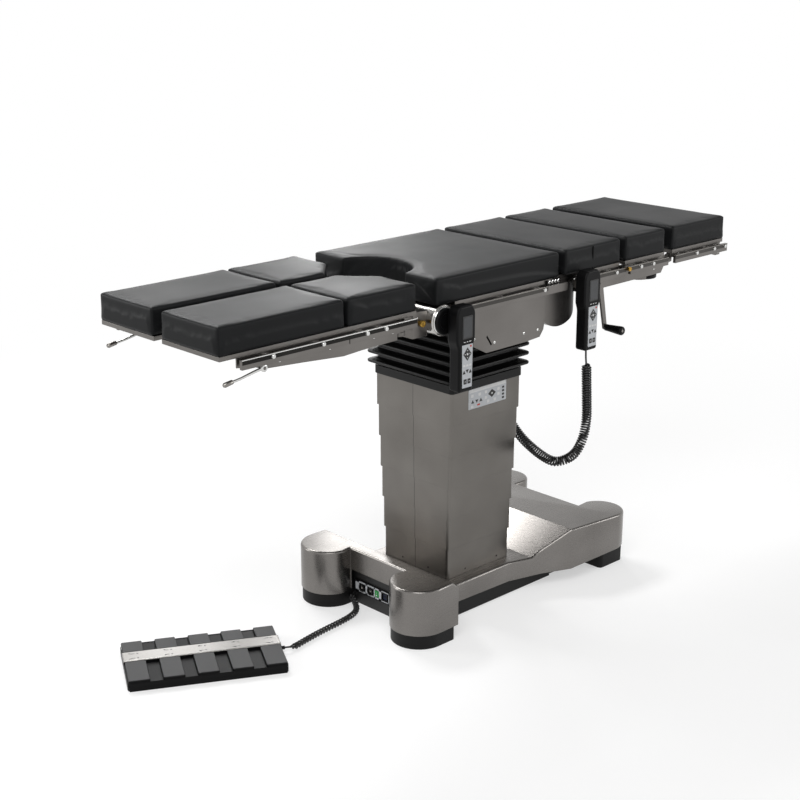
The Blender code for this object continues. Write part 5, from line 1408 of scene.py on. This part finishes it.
# %% Block, lugs and lock pin
BLOCK_X = (-0.378, -0.320)
BLOCK_Y = (0.160, 0.235)
BLOCK_Z = (0.946, 1.0205)
SWING = (-0.430, 0.235)
SWING_PIN = 0.006
BARREL_RADIUS = 0.016
BARREL_Z = (0.967, 1.013)
LUG_THICK = 0.012
TONGUE = ((0.056, 0.0320), (0.056, 0.070), (-0.010, 0.0125), (-0.0155, 0.0), (0.0155, 0.0), (0.0295, 0.0320))
LOCK_X = -0.350
KNOB = [(0.005, -0.024), (0.005, 0.0003), (0.0075, 0.0004), (0.0075, 0.0045), (0.0095, 0.0050),
        (0.0100, 0.0060), (0.0100, 0.0125), (0.0090, 0.0143), (0.0050, 0.0143), (0.0040, 0.0135),
        (0.0, 0.0135)]


def knee_block(side, word):
    """The block with its two lugs and the swing pin."""
    shape = bmesh.new()
    half_x = (BLOCK_X[1] - BLOCK_X[0]) / 2
    half_y = (BLOCK_Y[1] - BLOCK_Y[0]) / 2
    middle = (sum(BLOCK_X) / 2, side * sum(BLOCK_Y) / 2)
    extrude(shape, rounded(half_x, half_y, 0.004, 5, middle), "Z", *BLOCK_Z)
    swing = (SWING[0], side * SWING[1])
    for low_z in (BARREL_Z[0], BARREL_Z[1] - LUG_THICK):
        tongue = [(SWING[0] + along, side * (SWING[1] - inward)) for along, inward in TONGUE]
        extrude(shape, tongue, "Z", low_z, low_z + LUG_THICK)
        turn(shape, [(BARREL_RADIUS, low_z), (BARREL_RADIUS, low_z + LUG_THICK)], "Z", swing, 48)
    turn(shape, [(SWING_PIN, BARREL_Z[0] - 0.002), (SWING_PIN, BARREL_Z[1] + 0.002)], "Z", swing, 24)
    make(f"knee_block_{word}", shape, STEEL_FRAME, f"knee_{word}", bevel=0.0012, segments=2)


def lock_pin(side, word):
    """The pin and its knob, which slide across the table."""
    shape = bmesh.new()
    turn_outward(shape, [(radius, BLOCK_Y[1] + t) for radius, t in KNOB], side, (LOCK_X, KNEE[1]), 32)
    make(f"lock_pin_{word}", shape, BRASS, f"lock_{word}", [f"leg_lock_pin_{word}"])


for side, word in ((-1, "near"), (1, "far")):
    knee_drum(side, word)
    knee_block(side, word)
    lock_pin(side, word)
print("two leg joints")

# %% [markdown]
# ## Release levers
# Under each leg section a spring lever frees its hinge. It is a bent chrome rod with a dark moulded tip.

# %% Leg levers
LEVER_PIVOT = (-0.928, 0.980)
LEVER_TIP = (-1.048, 0.960)
LEVER_Y = 0.2563
LEVER_EYE = [(0.0085, 0.2503), (0.0100, 0.2515), (0.0100, 0.2618), (0.0088, 0.2630), (0.0045, 0.2630),
             (0.0040, 0.2622), (0.0, 0.2622)]
for side, word in ((-1, "near"), (1, "far")):
    shape = bmesh.new()
    y = side * LEVER_Y
    start = Vector((LEVER_PIVOT[0], y, LEVER_PIVOT[1]))
    end = Vector((LEVER_TIP[0], y, LEVER_TIP[1]))
    along = (end - start).normalized()
    rod = [start + along * 0.006, start + along * 0.030, start.lerp(end, 0.6) + Vector((0, 0, -0.0015)), end]
    tube(shape, rod, [0.0042, 0.0040, 0.0036, 0.0036], 20)
    tube(shape, [end - along * 0.022, end - along * 0.020, end + along * 0.004, end + along * 0.007],
         [0.0050, 0.0062, 0.0066, 0.0045], 24, paint=1)
    turn_outward(shape, LEVER_EYE, side, LEVER_PIVOT, 40)
    make(f"release_lever_{word}", shape, [CHROME, TURNED_STEEL_AND_HIGHLIGHT], f"lever_{word}",
         [f"leg_lever_{word}"], sharp=50)
print("two levers")

# %% [markdown]
# ## Bridge crank
# A crank on the near side lifts the kidney bridge. The arm is a rounded steel link, and the grip is a
# turned sleeve that runs free on its pin. Profiles turned about an axis give the shaft, the pin and the
# grip.

# %% Crank
CRANK = (0.3875, 0.980)
CRANK_END = (0.416, 0.846)
ARM_Y = (-0.2855, -0.2775)
GRIP_END = ARM_Y[0] - 0.068
SHAFT_END = -0.0503
GRIP = [(0.0090, 0.0006), (0.0105, 0.0020), (0.0105, 0.0100), (0.0115, 0.0240), (0.0132, 0.0480),
        (0.0140, 0.0600), (0.0138, 0.0650), (0.0120, 0.0675), (0.0055, 0.0680), (0.0050, 0.0665),
        (0.0, 0.0665)]
shape = bmesh.new()
heading = math.degrees(math.atan2(CRANK_END[1] - CRANK[1], CRANK_END[0] - CRANK[0]))
arm = arc(CRANK_END, 0.008, heading - 90, heading + 90, 16)
arm += arc(CRANK, 0.010, heading + 90, heading + 270, 16)
extrude(shape, arm, "Y", *ARM_Y)
make("crank_arm", shape, STEEL_FRAME, "crank", ["bridge_crank"], bevel=0.0015)
shape = bmesh.new()
turn(shape, [(0.006, ARM_Y[1] - 0.001), (0.006, SHAFT_END)], "Y", CRANK, 32)
turn(shape, [(0.0045, ARM_Y[0] + 0.001), (0.0045, GRIP_END + 0.0005), (0.003, GRIP_END)], "Y", CRANK_END, 32)
make("crank_shaft", shape, TURNED_STEEL_AND_HIGHLIGHT, "crank")
shape = bmesh.new()
turn(shape, [(radius, ARM_Y[0] - t) for radius, t in GRIP], "Y", CRANK_END, 48)
make("crank_grip", shape, ABS_BLACK, "crank", sharp=50)
print("crank of", round(math.dist(CRANK, CRANK_END), 3), "m")

# %% [markdown]
# ## Rails, spacers and screws
# The accessory rails stand off the side plates on bright spacers. Along the outer face of each rail runs a
# dark band of painted shade under a thin band of painted highlight, and the head of every spacer bolt stands
# in the dark band. These small pieces break up the plates and give the eye its scale, so each one is
# modelled.

# %% Places along the rails
SPACER_Z = 1.008
PEG_Z = 1.0108
PLATE_OUT = 0.250
RAIL_IN = 0.266
RAIL_OUT = 0.276
# Heights of the painted shade band and, above it, the painted highlight band on the outer face of a rail
SHADE_BAND_Z = (1.0055, 1.0165)
HIGHLIGHT_BAND_Z = (1.0168, 1.0190)
runs = {
    "leg": [(-1.010, -0.400)],
    "back": [(0.276, 0.521), (0.544, 0.742)],
    "head": [(0.780, 1.0705)],
    "table_top": [(-0.2415, 0.148)],
}
sections = {
    "leg": (-0.911, -0.743, -0.588, -0.519),
    "back": (0.472, 0.596, 0.660),
    "head": (0.896, 0.994, 1.056),
    "table_top": (-0.185, -0.030, 0.130),
}
bolts = {
    "leg": [(-0.869, 0.986), (-0.698, 0.986), (-0.540, 0.986), (-0.470, 0.986)],
    "table_top": [(-0.145, 0.906), (-0.058, 0.880), (0.071, 0.884), (0.133, 0.883)],
    "back": [(0.300, 1.012), (0.700, 0.984)],
    "head": [(0.830, 1.012), (1.055, 0.986)],
}
print(sum(len(p) for p in sections.values()) * 2, "spacers")

# %% [markdown]
# Both profiles are turned: the spacer has a flange on the plate and a neck at the rail, the peg is a low
# pin with a chamfer. The trim of a rail is one piece with three finishes: a band of painted shade, a band
# of painted highlight and the chrome of the pegs.

# %% Spacers and rail trim
SPACER = [(0.0066, PLATE_OUT - 0.001), (0.0078, PLATE_OUT + 0.0003), (0.0078, PLATE_OUT + 0.003),
          (0.0066, PLATE_OUT + 0.004), (0.0066, RAIL_IN - 0.002), (0.0072, RAIL_IN - 0.0012),
          (0.0072, RAIL_IN + 0.0005)]
PEG = [(0.0060, RAIL_OUT), (0.0060, RAIL_OUT + 0.0042), (0.0050, RAIL_OUT + 0.0052), (0.0, RAIL_OUT + 0.0052)]


def rail_trim(side, start, end, pegs):
    """A band of painted shade, a band of painted highlight above it, and pegs on the outer face of one rail.
    """
    shape = bmesh.new()
    face = side * RAIL_OUT
    middle = (start + end) / 2
    half = (end - start) / 2
    shade_strip = square(middle, sum(SHADE_BAND_Z) / 2, half - 0.001, (SHADE_BAND_Z[1] - SHADE_BAND_Z[0]) / 2)
    extrude(shape, shade_strip, "Y", face - side * 0.0010, face + side * 0.0004)
    # The painted highlight: a thin bright band that stands for the light on the rail's upper edge
    line = square(middle, sum(HIGHLIGHT_BAND_Z) / 2, half, (HIGHLIGHT_BAND_Z[1] - HIGHLIGHT_BAND_Z[0]) / 2)
    extrude(shape, line, "Y", face - side * 0.0010, face + side * 0.0008, paint=1)
    for x in pegs:
        turn_outward(shape, PEG, side, (x, PEG_Z), 24, paint=2)
    return shape


for side, word in ((-1, "near"), (1, "far")):
    facing = "-Y" if side < 0 else "+Y"
    for section, places in sections.items():
        body = f"leg_{word}" if section == "leg" else section
        shape = bmesh.new()
        for x in places:
            turn_outward(shape, SPACER, side, (x, SPACER_Z), 32)
        for x, z in bolts[section]:
            dome(shape, (x, side * PLATE_OUT, z), facing, 0.0045, 0.0022)
        make(f"{section}_spacers_{word}", shape, CHROME, body)
        # Painted shade and painted highlight: on the legs a black band under a near-white one, elsewhere a
        # mid grey band under a turned-steel one
        shade_paint = STEEL_BLACKED_AND_SHADE if section == "leg" else RAIL_SHADE_GREY
        highlight_paint = BRIGHT_POLISH_AND_HIGHLIGHT if section == "leg" else TURNED_STEEL_AND_HIGHLIGHT
        for start, end in runs[section]:
            pegs = [x for x in places if start < x < end and (section != "table_top" or x > 0.0)]
            make(f"{section}_rail_trim_{word}_{round(1000 * abs(start))}", rail_trim(side, start, end, pegs),
                 [shade_paint, highlight_paint, CHROME], body)
print("rails trimmed on both sides")

# %% [markdown]
# A steel cover hides the back joint on each side. It is a disc about the joint's axis, and towards the head
# end its face turns inward. A fixed shelf on top carries the edge of the lumbar cushion.

# %% Back joint covers
HIP = (0.235, 0.9805)
HIP_RADIUS = 0.105
HIP_Y = (0.2016, 0.2465)
HIP_TURN = 0.058
SHELF_X = (0.1860, 0.3218)
SHELF_LOW = 1.0218
for side, word in ((-1, "near"), (1, "far")):
    shelf_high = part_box(f"back_joint_cover_{word}")[1].z
    disc = [(a, min(b, SHELF_LOW)) for a, b in arc(HIP, HIP_RADIUS, 0, 356, 89)]
    cover = helper(disc, "Y", *sorted((side * HIP_Y[0], side * HIP_Y[1])))
    bend = (HIP[0] + 0.046, HIP_Y[1] - HIP_TURN)
    plan = [(0.10, 0.15), (0.36, 0.15), (bend[0] + HIP_TURN, 0.15)]
    plan += [*arc(bend, HIP_TURN, 0, 90, 16), (0.10, HIP_Y[1])]
    plan = [(x, side * y) for x, y in plan if x < 0.35]
    boolean(cover, helper(plan, "Z", 0.8, 1.2), "INTERSECT")
    shape = bmesh.new()
    shape.from_mesh(cover.data)
    bpy.data.objects.remove(cover, do_unlink=True)
    shelf_y = sorted((side * (HIP_Y[1] - 0.030), side * HIP_Y[1]))
    extrude(shape, square(sum(SHELF_X) / 2, sum(shelf_y) / 2, (SHELF_X[1] - SHELF_X[0]) / 2, 0.015), "Z",
            SHELF_LOW - 0.001, shelf_high)
    # The finish carries painted shade: dark brown grey towards the head end, where the face turns inward
    make(f"hip_cover_{word}", shape, STEEL_HIP, "table_top", [f"back_joint_cover_{word}"],
         sharp=30)
print("two back joint covers")

# %% [markdown]
# Three details sit near the back joint: a small block with a row of balls that indexes the seat section, a
# brass clamp screw on the back rail, and the black disc of the lock under the back plate.

# %% Index block, brass clamp screw and lock disc
INDEX_Y = (0.2575, 0.2645)
BALLS = 4
BALL = [(0.0054, 0.2640), (0.0054, 0.2652), (0.0046, 0.2656), (0.0, 0.2656)]
BALL_PIN = [(0.0026, 0.2650), (0.0026, 0.2658), (0.0, 0.2658)]
CLAMP = [(0.0035, 0.2765), (0.0035, 0.2780), (0.0062, 0.2785), (0.0070, 0.2795), (0.0070, 0.2860),
         (0.0062, 0.2870), (0.0034, 0.2870), (0.0030, 0.2862), (0.0, 0.2862)]
CLAMP_AT = (0.5290, 1.0135)
DISC_LOW = 0.9478
DISC_AT = (0.708, -0.203)
DISC = [(0.0405, 0.0), (0.0425, 0.002), (0.0425, 0.012), (0.0405, 0.0145), (0.012, 0.0150), (0.012, 0.030)]
for side, word in ((-1, "near"), (1, "far")):
    shape = bmesh.new()
    extrude(shape, square(0.1855, 1.0255, 0.0305, 0.0068), "Y", side * INDEX_Y[0], side * INDEX_Y[1])
    for n in range(BALLS):
        x = 0.1655 + 0.0135 * n
        turn_outward(shape, BALL, side, (x, 1.0258), 24, paint=1)
        turn_outward(shape, BALL_PIN, side, (x, 1.0258), 16)
    make(f"index_block_{word}", shape, [STEEL_BLACKED_AND_SHADE, BRIGHT_POLISH_AND_HIGHLIGHT], "table_top")
    shape = bmesh.new()
    turn_outward(shape, CLAMP, side, CLAMP_AT, 32)
    make(f"rail_clamp_screw_{word}", shape, BRASS, "back")
shape = bmesh.new()
turn(shape, [(radius, DISC_LOW + t) for radius, t in DISC], "Z", DISC_AT, 64)
make("back_lock_disc", shape, ABS_BLACK, "back")
print("small parts done")

# %% [markdown]
# ## Finishes of the construction's own pieces
# The rest of the frame keeps its shape. A CAD mesh has hard edges, and the Bevel node in each metal softens
# how they catch the light without touching the mesh.

# %% Give every remaining node its material
finishes = {
    "base_chassis": CASTING,
    "socket_panel": ABS_BLACK,
    "power_switch": GREEN,
    "lift_cylinder": STEEL_BLACKED_AND_SHADE,
    "lift_stage": TURNED_STEEL_AND_HIGHLIGHT,
    "lift_ram": CHROME,
    "column_head": STEEL_BLACKED_AND_SHADE,
    "trend_yoke": STEEL_BLACKED_AND_SHADE,
    "roll_frame": STEEL_BLACKED_AND_SHADE,
    "foot_control_base": ABS_BLACK,
    "foot_control_strip": STRIP_STEEL,
    "pedal_": ABS_BLACK,
}
for name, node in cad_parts.items():
    surface = next((made for start, made in finishes.items() if name.startswith(start)), STEEL_FRAME)
    if not node.material_slots:
        node.data.materials.append(surface)
    for slot in node.material_slots:
        slot.material = surface
print(len(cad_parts), "nodes have a finish")
